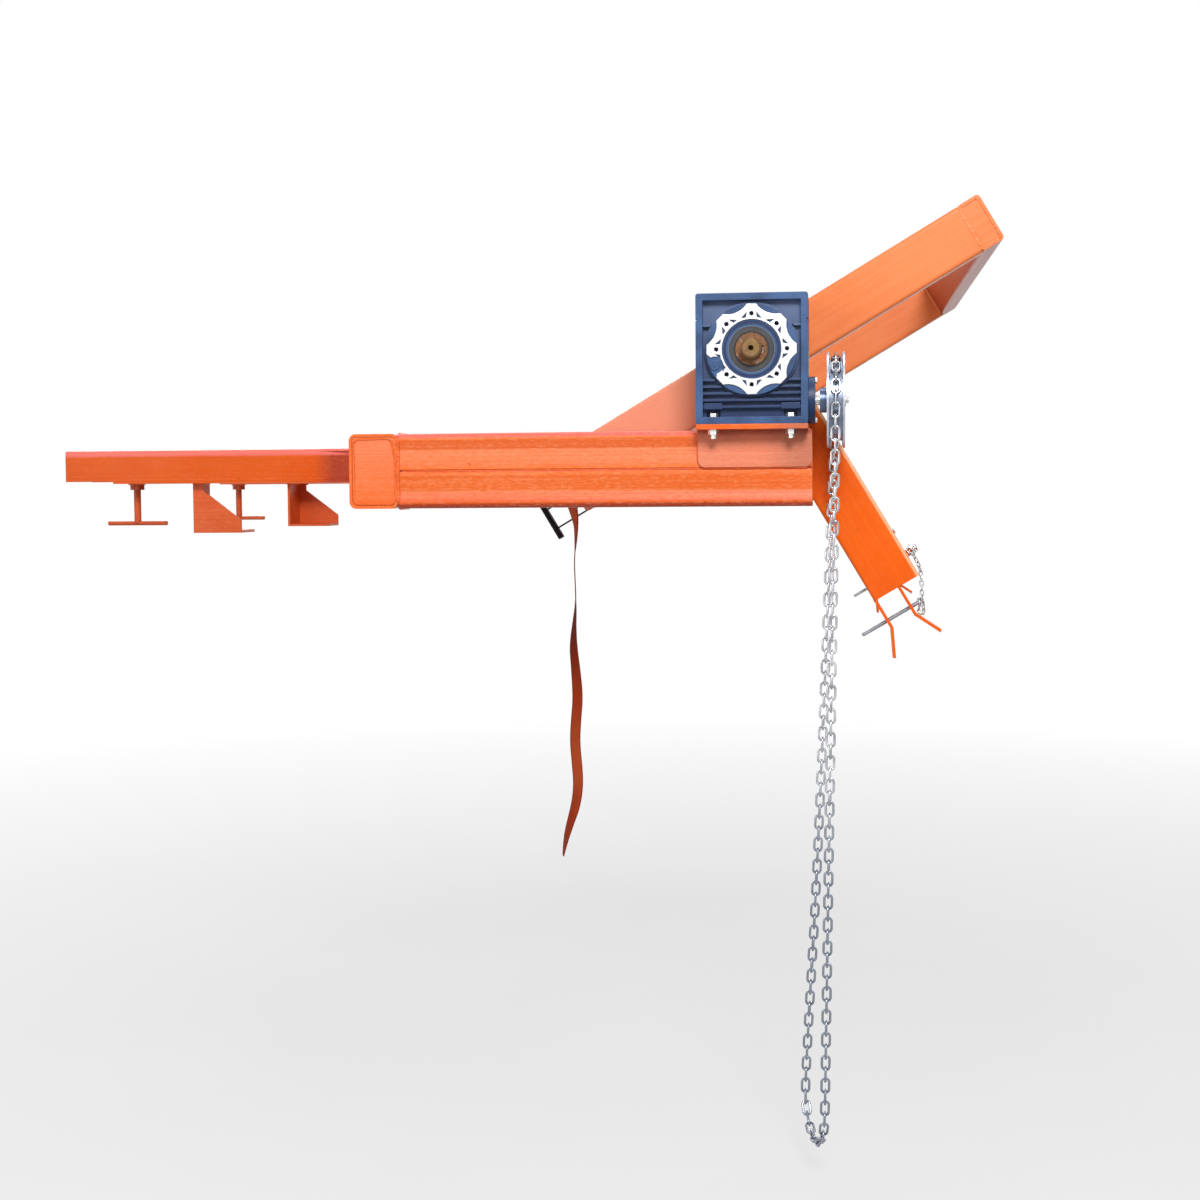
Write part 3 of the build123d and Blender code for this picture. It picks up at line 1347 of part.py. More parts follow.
# Strap lugs: slotted plates on the inner faces of the side beams, standing past their front ends
lug_inner_y = cradle_half_width - side_width - lug_thickness
lug_tip_u = -side_front - lug_reach
strap_exit_y = lug_inner_y - strap_exit_inset
slot_u = lug_tip_u + lug_bar + lug_slot_width / 2
with BuildPart() as near_strap_lug:
    with BuildSketch(cradle_side(-lug_inner_y)):
        with Locations((lug_tip_u + (lug_reach + lug_root) / 2, -strap_height)):
            RectangleRounded(lug_reach + lug_root, lug_height, lug_corner)
        with Locations((slot_u, -strap_height)):
            Rectangle(lug_slot_width, lug_slot_height, mode=Mode.SUBTRACT)
    extrude(amount=lug_thickness)
keep(Compound([near_strap_lug.part.solid(), other_side(near_strap_lug.part).solid()]), "strap_lugs")

# Ratchet: its frame, spindle and handle turn about lines down the lift arms
band_u = slot_u
ratchet_near_y = -lug_inner_y + ratchet_start
spindle_y = ratchet_near_y + ratchet_length - ratchet_end_margin
bolt_y = ratchet_near_y + ratchet_end_margin
plate_low = ratchet_gap / 2


def strap_plane(w):
    """A plane across the lift arms at w, with x along the side beams and y to the near side."""
    return Plane(origin=cradle_point(0, w, 0), x_dir=along, z_dir=down)


frame_centre = (band_u, -(ratchet_near_y + ratchet_length / 2))
with BuildPart() as ratchet_frame:
    for low in (strap_height - plate_low - ratchet_plate, strap_height + plate_low):
        with BuildSketch(strap_plane(low)):
            with Locations(frame_centre):
                SlotOverall(ratchet_length, ratchet_height, rotation=90)
            with Locations((band_u, -spindle_y)):
                Circle(spindle_diameter / 2 + spindle_fit, mode=Mode.SUBTRACT)
            with Locations((band_u, -bolt_y)):
                Circle(ratchet_bolt_diameter / 2 + ratchet_bolt_fit, mode=Mode.SUBTRACT)
        extrude(amount=ratchet_plate)
    with BuildSketch(strap_plane(strap_height - plate_low)):
        with Locations((band_u + ratchet_web_offset, frame_centre[1])):
            Rectangle(ratchet_plate, ratchet_web_length)
    extrude(amount=ratchet_gap)
keep(ratchet_frame.part, "ratchet_frame")

with BuildPart() as ratchet_bolt:
    bolt_low = strap_height - plate_low - ratchet_plate - ratchet_bolt_head
    bolt_span = ratchet_gap + 2 * (ratchet_plate + ratchet_bolt_head)
    with BuildSketch(strap_plane(bolt_low)):
        with Locations((band_u, -bolt_y)):
            Circle(ratchet_bolt_diameter / 2)
    extrude(amount=bolt_span)
    for low in (bolt_low, bolt_low + bolt_span - ratchet_bolt_head):
        with BuildSketch(strap_plane(low)):
            with Locations((band_u, -bolt_y)):
                Circle(ratchet_bolt_head_diameter / 2)
        extrude(amount=ratchet_bolt_head)
keep(ratchet_bolt.part, "ratchet_bolt")

# The slotted spindle with a toothed wheel outside each frame plate
wheel_low = strap_height - plate_low - ratchet_plate - ratchet_wheel_gap - ratchet_wheel_thickness
wheel_high = strap_height + plate_low + ratchet_plate + ratchet_wheel_gap
handle_low = wheel_low - handle_gap - handle_plate
handle_high = wheel_high + ratchet_wheel_thickness + handle_gap
spindle_low = handle_low - spindle_proud
spindle_span = handle_high + handle_plate + spindle_proud - spindle_low
with BuildPart() as ratchet_spindle:
    with BuildSketch(strap_plane(spindle_low)):
        with Locations((band_u, -spindle_y)):
            Circle(spindle_diameter / 2)
    extrude(amount=spindle_span)
    for low in (wheel_low, wheel_high):
        with BuildSketch(strap_plane(low)):
            with Locations(Location((band_u, -spindle_y))):
                Circle(ratchet_wheel_radius - ratchet_wheel_tooth)
                with PolarLocations(ratchet_wheel_radius - ratchet_wheel_tooth, ratchet_wheel_teeth):
                    RegularPolygon(ratchet_wheel_tooth, 3)
        extrude(amount=ratchet_wheel_thickness)
    with BuildSketch(strap_plane(strap_height - plate_low)):
        with Locations((band_u, -spindle_y)):
            Rectangle(spindle_slot, spindle_diameter)
    extrude(amount=ratchet_gap, mode=Mode.SUBTRACT)
keep(ratchet_spindle.part, "ratchet_spindle")

# The handle stands straight out from the strap, with its grip parallel to the lift arms
with BuildPart() as ratchet_handle:
    grip_u = band_u - handle_length
    for low in (handle_low, handle_high):
        with BuildSketch(strap_plane(low)):
            with Locations((band_u, -spindle_y)):
                Circle(handle_plate_width / 2)
            with Locations(((band_u + grip_u) / 2, -spindle_y)):
                Rectangle(handle_length, handle_plate_width)
            with Locations((band_u, -spindle_y)):
                Circle(spindle_diameter / 2 + spindle_fit, mode=Mode.SUBTRACT)
        extrude(amount=handle_plate)
    with BuildSketch(strap_plane(strap_height - handle_grip_width / 2)):
        with Locations((grip_u - handle_grip_thickness / 2, -spindle_y)):
            RectangleRounded(handle_grip_thickness, handle_grip_depth, handle_grip_corner)
    extrude(amount=handle_grip_width)
keep(ratchet_handle.part, "ratchet_handle")

# Restraint strap: a short loop from the near lug to the ratchet bolt, and the long band that runs from the
# far lug through the slot of the spindle to the place where its tail hangs
loop_out_y = cradle_half_width - side_width + strap_thickness
front_u = lug_tip_u - strap_thickness / 2 - strap_gap
back_u = slot_u
exit_u = front_u - strap_exit_reach
bolt_wrap = ratchet_bolt_diameter / 2 + strap_thickness / 2 + strap_gap
with BuildPart() as strap_band:
    with BuildSketch(strap_plane(strap_height - strap_width / 2)):
        with BuildLine() as far_loop:
            Polyline(
                (exit_u, strap_exit_y),
                (front_u - strap_thickness - strap_gap, strap_exit_y),
                (back_u, -spindle_y + strap_exit_bend),
                (back_u, -loop_out_y),
                (front_u, -loop_out_y),
                (front_u, -(lug_inner_y - strap_thickness)),
                (back_u - strap_thickness - strap_gap, -(lug_inner_y - strap_sewn_length / 2)),
                (back_u - strap_thickness - strap_gap, -(lug_inner_y - strap_sewn_length)),
            )
        trace(line_width=strap_thickness)
    extrude(amount=strap_width)
    with BuildSketch(strap_plane(strap_height - strap_width / 2)):
        with BuildLine() as near_loop:
            Polyline(
                (back_u + bolt_wrap, -bolt_y - bolt_wrap),
                (back_u + bolt_wrap, -bolt_y + bolt_wrap),
                (back_u, lug_inner_y - strap_thickness),
                (back_u, loop_out_y),
                (front_u, loop_out_y),
                (front_u, lug_inner_y - strap_thickness),
                (back_u - bolt_wrap, -bolt_y + bolt_wrap),
                (back_u - bolt_wrap, -bolt_y - bolt_wrap),
                close=True,
            )
        trace(line_width=strap_thickness)
    extrude(amount=strap_width)
keep(strap_band.part, "strap_band")

# The loose tail of the strap leaves past the front of the ratchet and hangs turned between the two sides
tail_top = cradle_point(exit_u - strap_exit_gap, strap_height, -strap_exit_y)
tail_route = [tail_top + Vector(x, 0, z) for x, z in tail_points]
tail_radii = route_radii(tail_route, route_turn_share)
tail_across = Vector(cos(radians(strap_tail_turn)), sin(radians(strap_tail_turn)), 0)
with BuildPart() as strap_tail:
    with BuildSketch(Plane.XZ.offset(strap_exit_y)):
        with BuildLine() as tail_line:
            FilletPolyline(*[(p.X, p.Z) for p in tail_route], radius=tail_radii)
        trace(line_width=strap_thickness)
    extrude(amount=strap_width / 2, dir=tail_across, both=True)
keep(strap_tail.part, "strap_tail")
print("strap tail radii", [round(r) for r in tail_radii], f"length {tail_line.wire().length:.0f} mm")
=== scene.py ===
import json
import math

import bpy
from mathutils import Matrix, Vector, noise


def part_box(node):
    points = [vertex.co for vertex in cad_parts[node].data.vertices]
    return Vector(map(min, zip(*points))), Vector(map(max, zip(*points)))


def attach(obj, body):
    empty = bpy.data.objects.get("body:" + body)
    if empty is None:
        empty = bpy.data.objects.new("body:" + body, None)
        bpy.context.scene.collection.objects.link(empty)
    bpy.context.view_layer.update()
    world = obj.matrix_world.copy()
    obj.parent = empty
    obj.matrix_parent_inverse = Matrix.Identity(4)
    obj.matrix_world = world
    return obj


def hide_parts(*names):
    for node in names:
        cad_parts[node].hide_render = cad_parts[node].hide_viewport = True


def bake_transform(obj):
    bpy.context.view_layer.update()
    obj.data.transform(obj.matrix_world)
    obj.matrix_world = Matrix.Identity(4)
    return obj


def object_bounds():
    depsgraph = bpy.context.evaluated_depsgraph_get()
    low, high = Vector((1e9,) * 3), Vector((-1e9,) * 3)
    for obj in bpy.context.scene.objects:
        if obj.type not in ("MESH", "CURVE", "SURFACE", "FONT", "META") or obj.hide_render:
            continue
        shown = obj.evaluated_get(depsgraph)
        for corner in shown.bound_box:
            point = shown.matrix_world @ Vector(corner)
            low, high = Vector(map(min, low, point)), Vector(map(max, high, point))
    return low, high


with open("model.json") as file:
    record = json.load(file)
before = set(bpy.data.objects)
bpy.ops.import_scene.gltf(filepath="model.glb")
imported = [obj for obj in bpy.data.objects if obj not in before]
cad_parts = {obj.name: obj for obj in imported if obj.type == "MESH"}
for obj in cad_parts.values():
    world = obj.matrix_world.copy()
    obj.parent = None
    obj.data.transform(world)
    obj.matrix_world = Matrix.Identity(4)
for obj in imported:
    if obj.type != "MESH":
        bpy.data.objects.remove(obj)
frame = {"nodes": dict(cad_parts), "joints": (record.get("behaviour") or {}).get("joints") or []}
cad_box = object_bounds()
nodes = frame["nodes"]
scene = bpy.context.scene
scene.view_settings.view_transform = "Standard"

# Places from the frame: the pivot and worm axes, and the faces of arms, side beams, cross beam and sleeves
hinges = {joint["name"]: Vector(joint["pos_m"]) for joint in frame["joints"] if joint["type"] == "hinge"}
PIVOT, WORM = hinges["tip"], hinges["worm_turn"]
arm_low, arm_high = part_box("far_arm_channels")
beam_low, beam_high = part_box("far_side_beam")
cross_low, cross_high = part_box("cross_beam")
ARM_BOTTOM, ARM_TOP = arm_low.z, arm_high.z
ARM_OUT, ARM_IN = ARM = arm_high.y, arm_low.y
BEAM_OUT, BEAM_IN = BEAM = beam_high.y, beam_low.y
CROSS_FRONT, CROSS_BACK = cross_low.x, cross_high.x
SLEEVE_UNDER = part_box("sleeve_floors")[0].z

# Directions of the cradle at rest, and the sign of y on each side of the machine
TILT = math.radians(30.74)
ALONG = Vector((math.cos(TILT), 0, math.sin(TILT)))
DOWN = Vector((math.sin(TILT), 0, -math.cos(TILT)))
ACROSS = Vector((0, 1, 0))
SIDES = {"near": -1, "far": 1}


def cradle(u, w, y):
    """A point of the cradle, in metres: u along the side beams, w down the lift arms, y across."""
    return PIVOT + ALONG * u + DOWN * w + Vector((0, y, 0))


# Camera at the photograph's place and angle
eye = Vector((1.7370, -4.3311, -0.0892))
yaw, pitch, roll = 0.1174, -0.053, -0.0074
level = Vector((-math.sin(yaw), math.cos(yaw), 0))
side = Vector((math.cos(yaw), math.sin(yaw), 0))
ahead = level * math.cos(pitch) + Vector((0, 0, math.sin(pitch)))
above = level * -math.sin(pitch) + Vector((0, 0, math.cos(pitch)))
right = side * math.cos(roll) + above * math.sin(roll)
up = above * math.cos(roll) - side * math.sin(roll)
camera = bpy.data.objects.new("camera", bpy.data.cameras.new("camera"))
camera.data.sensor_width = 36
camera.data.lens = 53.465
camera.data.shift_x = -0.0184
camera.data.shift_y = -0.0140
camera.data.clip_end = 200
camera.matrix_world = Matrix(
    [[right[i], up[i], -ahead[i], eye[i]] for i in range(3)] + [[0, 0, 0, 1]]
)
scene.collection.objects.link(camera)
scene.camera = camera

# Materials
# Sockets of the mix node, by number because their names repeat
MIX_FACTOR, MIX_FIRST, MIX_SECOND, MIX_RESULT = 0, 6, 7, 2


def shader(name, **values):
    """A new material with a principled shader whose plain sockets are set."""
    material = bpy.data.materials.new(name)
    material.use_nodes = True
    tree = material.node_tree
    bsdf = tree.nodes["Principled BSDF"]
    for socket, value in values.items():
        bsdf.inputs[socket.replace("_", " ")].default_value = value
    return material, tree, bsdf


def connect(tree, bsdf, **values):
    """Links values to sockets of the shader."""
    for socket, value in values.items():
        tree.links.new(value, bsdf.inputs[socket.replace("_", " ")])


def node(tree, kind, inputs=None, **settings):
    """A new node with its settings, and its inputs set or linked."""
    made = tree.nodes.new(kind)
    for key, value in settings.items():
        setattr(made, key, value)
    for key, value in (inputs or {}).items():
        if isinstance(value, bpy.types.NodeSocket):
            tree.links.new(value, made.inputs[key])
        else:
            made.inputs[key].default_value = value
    return made


def place(tree, scale=(1, 1, 1), turn=(0, 0, 0)):
    """The position on the piece, turned and then stretched."""
    spot = node(tree, "ShaderNodeTexCoord").outputs["Object"]
    if any(turn):
        spot = node(tree, "ShaderNodeMapping", {"Vector": spot, "Rotation": turn}).outputs["Vector"]
    return node(tree, "ShaderNodeMapping", {"Vector": spot, "Scale": scale}).outputs["Vector"]


def coordinate(tree, spot, axis):
    """One coordinate of a position."""
    return node(tree, "ShaderNodeSeparateXYZ", {"Vector": spot}).outputs[axis]


def cloud(tree, vector, scale, detail=4, rough=0.55):
    """A noise value over a position."""
    inputs = {"Vector": vector, "Scale": scale, "Detail": detail, "Roughness": rough}
    return node(tree, "ShaderNodeTexNoise", inputs).outputs["Fac"]


def ramp(tree, value, stops):
    """Colours along a value, by stops of (position, colour)."""
    made = node(tree, "ShaderNodeValToRGB", {"Fac": value})
    elements = made.color_ramp.elements
    while len(elements) < len(stops):
        elements.new(0.5)
    for element, (spot, colour) in zip(elements, stops):
        element.position = spot
        element.color = (*colour, 1)
    return made.outputs["Color"]


def grey(x):
    return (x, x, x)


def levels(tree, value, *stops):
    """Greys along a value, by stops of (position, level)."""
    return ramp(tree, value, [(spot, grey(much)) for spot, much in stops])


def stretched(tree, value, low, high):
    """How far a value is from low to high, as a share."""
    inputs = {"Value": value, "From Min": low, "From Max": high}
    return node(tree, "ShaderNodeMapRange", inputs).outputs["Result"]


def mix(tree, factor, first, second):
    """Two colours mixed by a factor."""
    inputs = {MIX_FACTOR: factor}
    for socket, colour in ((MIX_FIRST, first), (MIX_SECOND, second)):
        inputs[socket] = colour if isinstance(colour, bpy.types.NodeSocket) else (*colour, 1)
    return node(tree, "ShaderNodeMix", inputs, data_type="RGBA").outputs[MIX_RESULT]


def sums(tree, operation, *values, clamp=False):
    """One step of arithmetic on values."""
    made = node(tree, "ShaderNodeMath", dict(enumerate(values)), operation=operation, use_clamp=clamp)
    return made.outputs[0]


def weighted(tree, share, first, second):
    """Two values added, the first by its share and the second by the rest."""
    rest = sums(tree, "MULTIPLY", second, 1 - share)
    return sums(tree, "ADD", sums(tree, "MULTIPLY", first, share), rest)


def vectors(tree, operation, first, second, output="Value"):
    """One step of arithmetic on vectors."""
    return node(tree, "ShaderNodeVectorMath", {0: first, 1: second}, operation=operation).outputs[output]


def off_axis(tree, spot, point):
    """The distance of a position from the line across the machine through a point with y 0."""
    flat = vectors(tree, "MULTIPLY", spot, (1, 0, 1), "Vector")
    return vectors(tree, "DISTANCE", flat, point)


def from_pivot(tree, spot):
    """Tenths of a metre from the pivot axis."""
    return sums(tree, "MULTIPLY", off_axis(tree, spot, PIVOT), 10)


def rounded(tree, radius):
    """Normals that turn over the sharp edges, and a mask of those edges."""
    bevel = node(tree, "ShaderNodeBevel", {"Radius": radius}, samples=6).outputs["Normal"]
    flat = node(tree, "ShaderNodeNewGeometry").outputs["Normal"]
    return bevel, levels(tree, vectors(tree, "DOT_PRODUCT", bevel, flat), (0.86, 1), (0.985, 0))


def bumps(tree, bsdf, height, strength, distance, normal=None):
    """Relief on the shader from a height."""
    inputs = {"Height": height, "Strength": strength, "Distance": distance}
    if normal is not None:
        inputs["Normal"] = normal
    connect(tree, bsdf, Normal=node(tree, "ShaderNodeBump", inputs).outputs["Normal"])


# Paint: the colours of its wear (chalk and chips) and of the painted sheen and painted shade that its orange
# peel ripple lays on, how its noise is stretched along and across the brush, how far the edge of a band
# wanders, and how strongly a face shows painted light and shade by what it is turned towards
CHALK, CHIP = (0.84, 0.235, 0.100), (0.16, 0.045, 0.014)
# Painted sheen and painted shade that the orange peel's ripple lays on the colour
PAINTED_SHEEN, PAINTED_PEEL_SHADE = (0.90, 0.292, 0.130), (0.72, 0.095, 0.004)
STREAK, BRUSH, RIPPLE = (2.2, 80, 80), (1.6, 380, 380), (90, 330, 330)
WANDER, WANDER_REACH = (14, 14, 14), 0.004
FACING = (0.05, 0), (0.40, 1), (0.93, 1), (0.985, 0.3)
# How widely each kind of piece is rounded at its edges
PAINT_EDGE, WELD_EDGE, METAL_EDGE, RUBBER_EDGE = 0.0018, 0.0005, 0.0008, 0.0012


def paint(
    name, dark, bright, streak_turn=(0, 0, 0), chalk=0.3, shine=0.2, edge_radius=PAINT_EDGE, peel=0.7,
    sheen_mottle=0.25, relief=0.35, bands=(), painted_by_facing=(),
):
    """Brushed enamel: long streaks, orange peel whose ripple mottles the tone with painted sheen and painted
    shade, a chalky film and chips at the edges.

    Each of bands is (axis, low, high, stops, colour): the colour is laid on by the stops along that axis.
    Each facing colour is (direction, colour): the colour is laid on what faces that way, as painted
    light and shade.
    """
    material, tree, bsdf = shader(
        name, Coat_Weight=shine * 0.4, Coat_Roughness=0.12, Specular_IOR_Level=shine
    )
    spot = place(tree)
    broad = cloud(tree, spot, 5, 5)
    streaks = cloud(tree, place(tree, STREAK, streak_turn), 1, 3)
    brush = cloud(tree, place(tree, BRUSH, streak_turn), 1, 2)
    strokes = weighted(tree, 0.6, streaks, brush)
    colour = ramp(tree, weighted(tree, 0.5, broad, strokes), [(0.40, dark), (0.60, bright)])
    film = levels(tree, cloud(tree, spot, 19, 7, 0.68), (0.46, 0), (0.72, chalk))
    colour = mix(tree, film, colour, CHALK)
    for axis, low, high, stops, laid in bands:
        wander = cloud(tree, place(tree, WANDER, streak_turn), 1, 3)
        run = sums(tree, "MULTIPLY_ADD", wander, WANDER_REACH, coordinate(tree, spot, axis))
        colour = mix(tree, levels(tree, stretched(tree, run, low, high), *stops), colour, laid)
    # Painted light and shade by which way a face turns
    for way, laid in painted_by_facing:
        turned = vectors(tree, "DOT_PRODUCT", node(tree, "ShaderNodeTexCoord").outputs["Normal"], way)
        colour = mix(tree, levels(tree, turned, *FACING), colour, laid)
    ripple = weighted(tree, 0.6, cloud(tree, place(tree, RIPPLE, streak_turn), 1, 3, 0.6), brush)
    # The ripple lays painted sheen on its paler patches and painted shade on its deeper ones
    colour = mix(tree, levels(tree, ripple, (0.50, 0), (0.62, sheen_mottle)), colour, PAINTED_SHEEN)
    colour = mix(tree, levels(tree, ripple, (0.38, sheen_mottle), (0.50, 0)), colour, PAINTED_PEEL_SHADE)
    normal, edge = rounded(tree, edge_radius)
    worn = levels(tree, cloud(tree, spot, 55, 6, 0.7), (0.67, 0), (0.73, 1))
    chips = sums(tree, "MULTIPLY", edge, worn, clamp=True)
    specks = levels(tree, cloud(tree, spot, 140, 3, 0.5), (0.745, 0), (0.765, 0.7))
    marks = sums(tree, "MAXIMUM", chips, specks)
    gloss = sums(tree, "MULTIPLY_ADD", strokes, 0.30, 0.20)
    rough = sums(tree, "MAXIMUM", gloss, sums(tree, "MULTIPLY", marks, 0.7))
    connect(tree, bsdf, Base_Color=mix(tree, marks, colour, CHIP), Roughness=rough)
    skin = sums(tree, "MULTIPLY", cloud(tree, spot, 240, 3, 0.5), peel)
    height = sums(tree, "ADD", skin, sums(tree, "ADD", strokes, ripple))
    bumps(tree, bsdf, height, relief, 0.0014, normal)
    return material


# Which way the brush went on what doesn't lie along X
TO_SIDE, TO_LIFT, TO_CROSS = (0, TILT, 0), (0, TILT - math.pi / 2, 0), (0, 0, -math.pi / 2)
# What the paint shows of the sky, the floor and the light to its right, painted into its colour by which way
# a
# face turns: a pink sky reflection on faces turned up, painted shade on faces turned down and a painted
# highlight on faces turned to the right
SKY = ((0, 0, 1), (0.84, 0.146, 0.115))
UNDER = ((0, 0, -1), (0.38, 0.036, 0.010))
RIGHT = (tuple(ALONG), (0.92, 0.470, 0.245))
# Bands laid on the paint's colour along a height or a length; what each set lays on is said above it
# Arms: painted light in bands where the channels' faces turn up, peaking in a thin painted highlight along a
# ridge
ARM_STOPS = [
    (0.115, 0), (0.15, 0.70), (0.19, 0.58), (0.215, 0.9), (0.25, 0.05), (0.41, 0), (0.45, 0.45),
    (0.49, 0.2), (0.53, 0.2), (0.56, 0.5), (0.66, 0.78), (0.74, 0.78), (0.765, 1), (0.80, 0.4),
]
# Arms: those bands, painted shade towards the bottom edge and painted light just under the top edge
ARM_BANDS = [
    ("Z", -0.124, 0.026, ARM_STOPS, (0.84, 0.228, 0.080)),
    ("Z", -0.124, -0.106, [(0.45, 0.8), (0.95, 0)], (0.66, 0.085, 0.006)),
    ("Z", -0.010, 0.024, [(0.10, 0), (0.25, 0.8), (0.80, 0.8), (0.95, 0)], (0.98, 0.190, 0.040)),
]
# Sleeves: painted shade in the pinch by the cross beam, and a painted pink sky reflection along the top edge
SLEEVE_BANDS = [
    ("X", 0.585, 0.630, [(0, 0), (1, 1)], (0.36, 0.044, 0.018)),
    ("Z", -0.010, 0.010, [(0.05, 0), (0.32, 1), (0.74, 1), (0.82, 0.35)], (0.86, 0.185, 0.150)),
]
# Apron: a paler, pinker tone over it, painted shade towards its right end and a painted shadow under the
# saddle plate
APRON_BANDS = [
    ("Z", -0.126, 0.026, [(0.98, 1), (1, 0)], (0.73, 0.228, 0.128)),
    ("X", 1.605, 1.695, [(0, 0), (0.7, 0.75)], (0.44, 0.150, 0.090)),
    ("Z", 0.014, 0.028, [(0, 0), (0.5, 0.75), (0.84, 0.75), (0.88, 0)], (0.30, 0.040, 0.020)),
]
# Cross beam caps: painted light, lighter towards the top
CAP_BANDS = [("Z", -0.126, 0.026, [(0.1, 0), (0.9, 0.9)], (0.88, 0.215, 0.090))]
# Side beams: a paler tone where x is below 1.6, fading out by 1.6
SIDE_BANDS = [("X", 1.20, 1.60, [(0, 1), (0.6, 0.9), (1, 0)], (0.74, 0.280, 0.175))]
ARM_TONES = (0.79, 0.138, 0.018), (0.86, 0.160, 0.028)
SIDE_TONES = (0.80, 0.190, 0.048), (0.86, 0.235, 0.072)
# The sleeves' copy of the orange is darker than the arms': painted shade
orange_sleeve = paint(
    "orange_sleeve_paint", (0.64, 0.078, 0.003), (0.72, 0.102, 0.007), chalk=0.1, shine=0.12, sheen_mottle=0.12,
    relief=0.2, bands=SLEEVE_BANDS,
)
orange_foot = paint(
    "orange_foot_paint", (0.58, 0.080, 0.012), (0.66, 0.108, 0.022), chalk=0.15, sheen_mottle=0.15
)
orange_screw = paint("orange_screw_paint", (0.46, 0.060, 0.010), (0.58, 0.090, 0.018), chalk=0.1)
# The arms: their bands and facing colours are painted light and shade
orange_arm = paint(
    "orange_arm_paint", *ARM_TONES, chalk=0.15, peel=1.2, sheen_mottle=0.42, bands=ARM_BANDS, painted_by_facing=[SKY, UNDER]
)
orange_saddle = paint("orange_saddle_paint", (0.80, 0.120, 0.012), (0.88, 0.160, 0.025), bands=APRON_BANDS)
orange_cap = paint(
    "orange_cap_paint", (0.78, 0.128, 0.018), (0.86, 0.158, 0.032), chalk=0.2, peel=1.6, sheen_mottle=0.32,
    bands=CAP_BANDS,
)
# The cross beam: a painted pink sky reflection on faces turned up and painted shade on faces turned down
orange_cross = paint(
    "orange_cross_paint", *ARM_TONES, TO_CROSS, chalk=0.15, peel=1.2, sheen_mottle=0.35, painted_by_facing=[SKY, UNDER]
)
orange_side = paint(
    "orange_side_paint", *SIDE_TONES, TO_SIDE, chalk=0.2, sheen_mottle=0.1, relief=0.15, bands=SIDE_BANDS
)
# The back beam: painted shade on faces turned down
orange_back = paint(
    "orange_back_paint", *SIDE_TONES, TO_CROSS, chalk=0.2, sheen_mottle=0.1, relief=0.15, painted_by_facing=[UNDER]
)
# The lift arms: a painted highlight on faces turned to the right
orange_lift = paint(
    "orange_lift_paint", (0.78, 0.098, 0.002), (0.86, 0.124, 0.004), TO_LIFT, chalk=0.05, shine=0.12,
    sheen_mottle=0.08, relief=0.15, painted_by_facing=[RIGHT],
)
orange_weld = paint(
    "orange_weld_paint", (0.72, 0.100, 0.010), (0.86, 0.160, 0.036), chalk=0.2, edge_radius=WELD_EDGE
)
cradle_weld = paint(
    "cradle_weld_paint", (0.82, 0.225, 0.070), (0.90, 0.280, 0.105), chalk=0.2, edge_radius=WELD_EDGE
)

# Castings: their paint, rubbed paint with a painted highlight at the edges, what shows where it is gone,
# where the covers are recessed and plugged, painted shade low and painted light high in the recess, and rings
# of painted shade round the covers' bores
BLUE_DARK, BLUE_BRIGHT = (0.019, 0.046, 0.122), (0.044, 0.104, 0.246)
# Painted shade and painted light for the recess
BLUE_PAINTED_SHADE, BLUE_PAINTED_LIGHT = (0.003, 0.014, 0.070), (0.100, 0.140, 0.255)
# Lighter blue at the edges: rubbed paint and a painted edge highlight
BLUE_RUBBED_AND_HIGHLIGHT = (0.12, 0.19, 0.33)
BARE_DARK, BARE_BRIGHT = (0.54, 0.53, 0.53), (0.78, 0.77, 0.77)
LATHE = (700, 5, 700)
RECESS_Y, RECESS_HALF = -0.858, 0.020
RECESS_LOW, RECESS_HIGH = 0.06, 0.25
PLUG, PLUG_RADIUS = (1.5131, 0, 0.1469), 0.0135
# Rings of painted shade round a cover's bore, in tenths of a metre from the pivot axis
COVER_RING_SHADE = [
    (0.470, 0), (0.486, 0), (0.496, 0.9), (0.538, 0.9), (0.550, 0), (0.560, 0), (0.570, 0.6), (0.576, 0),
]


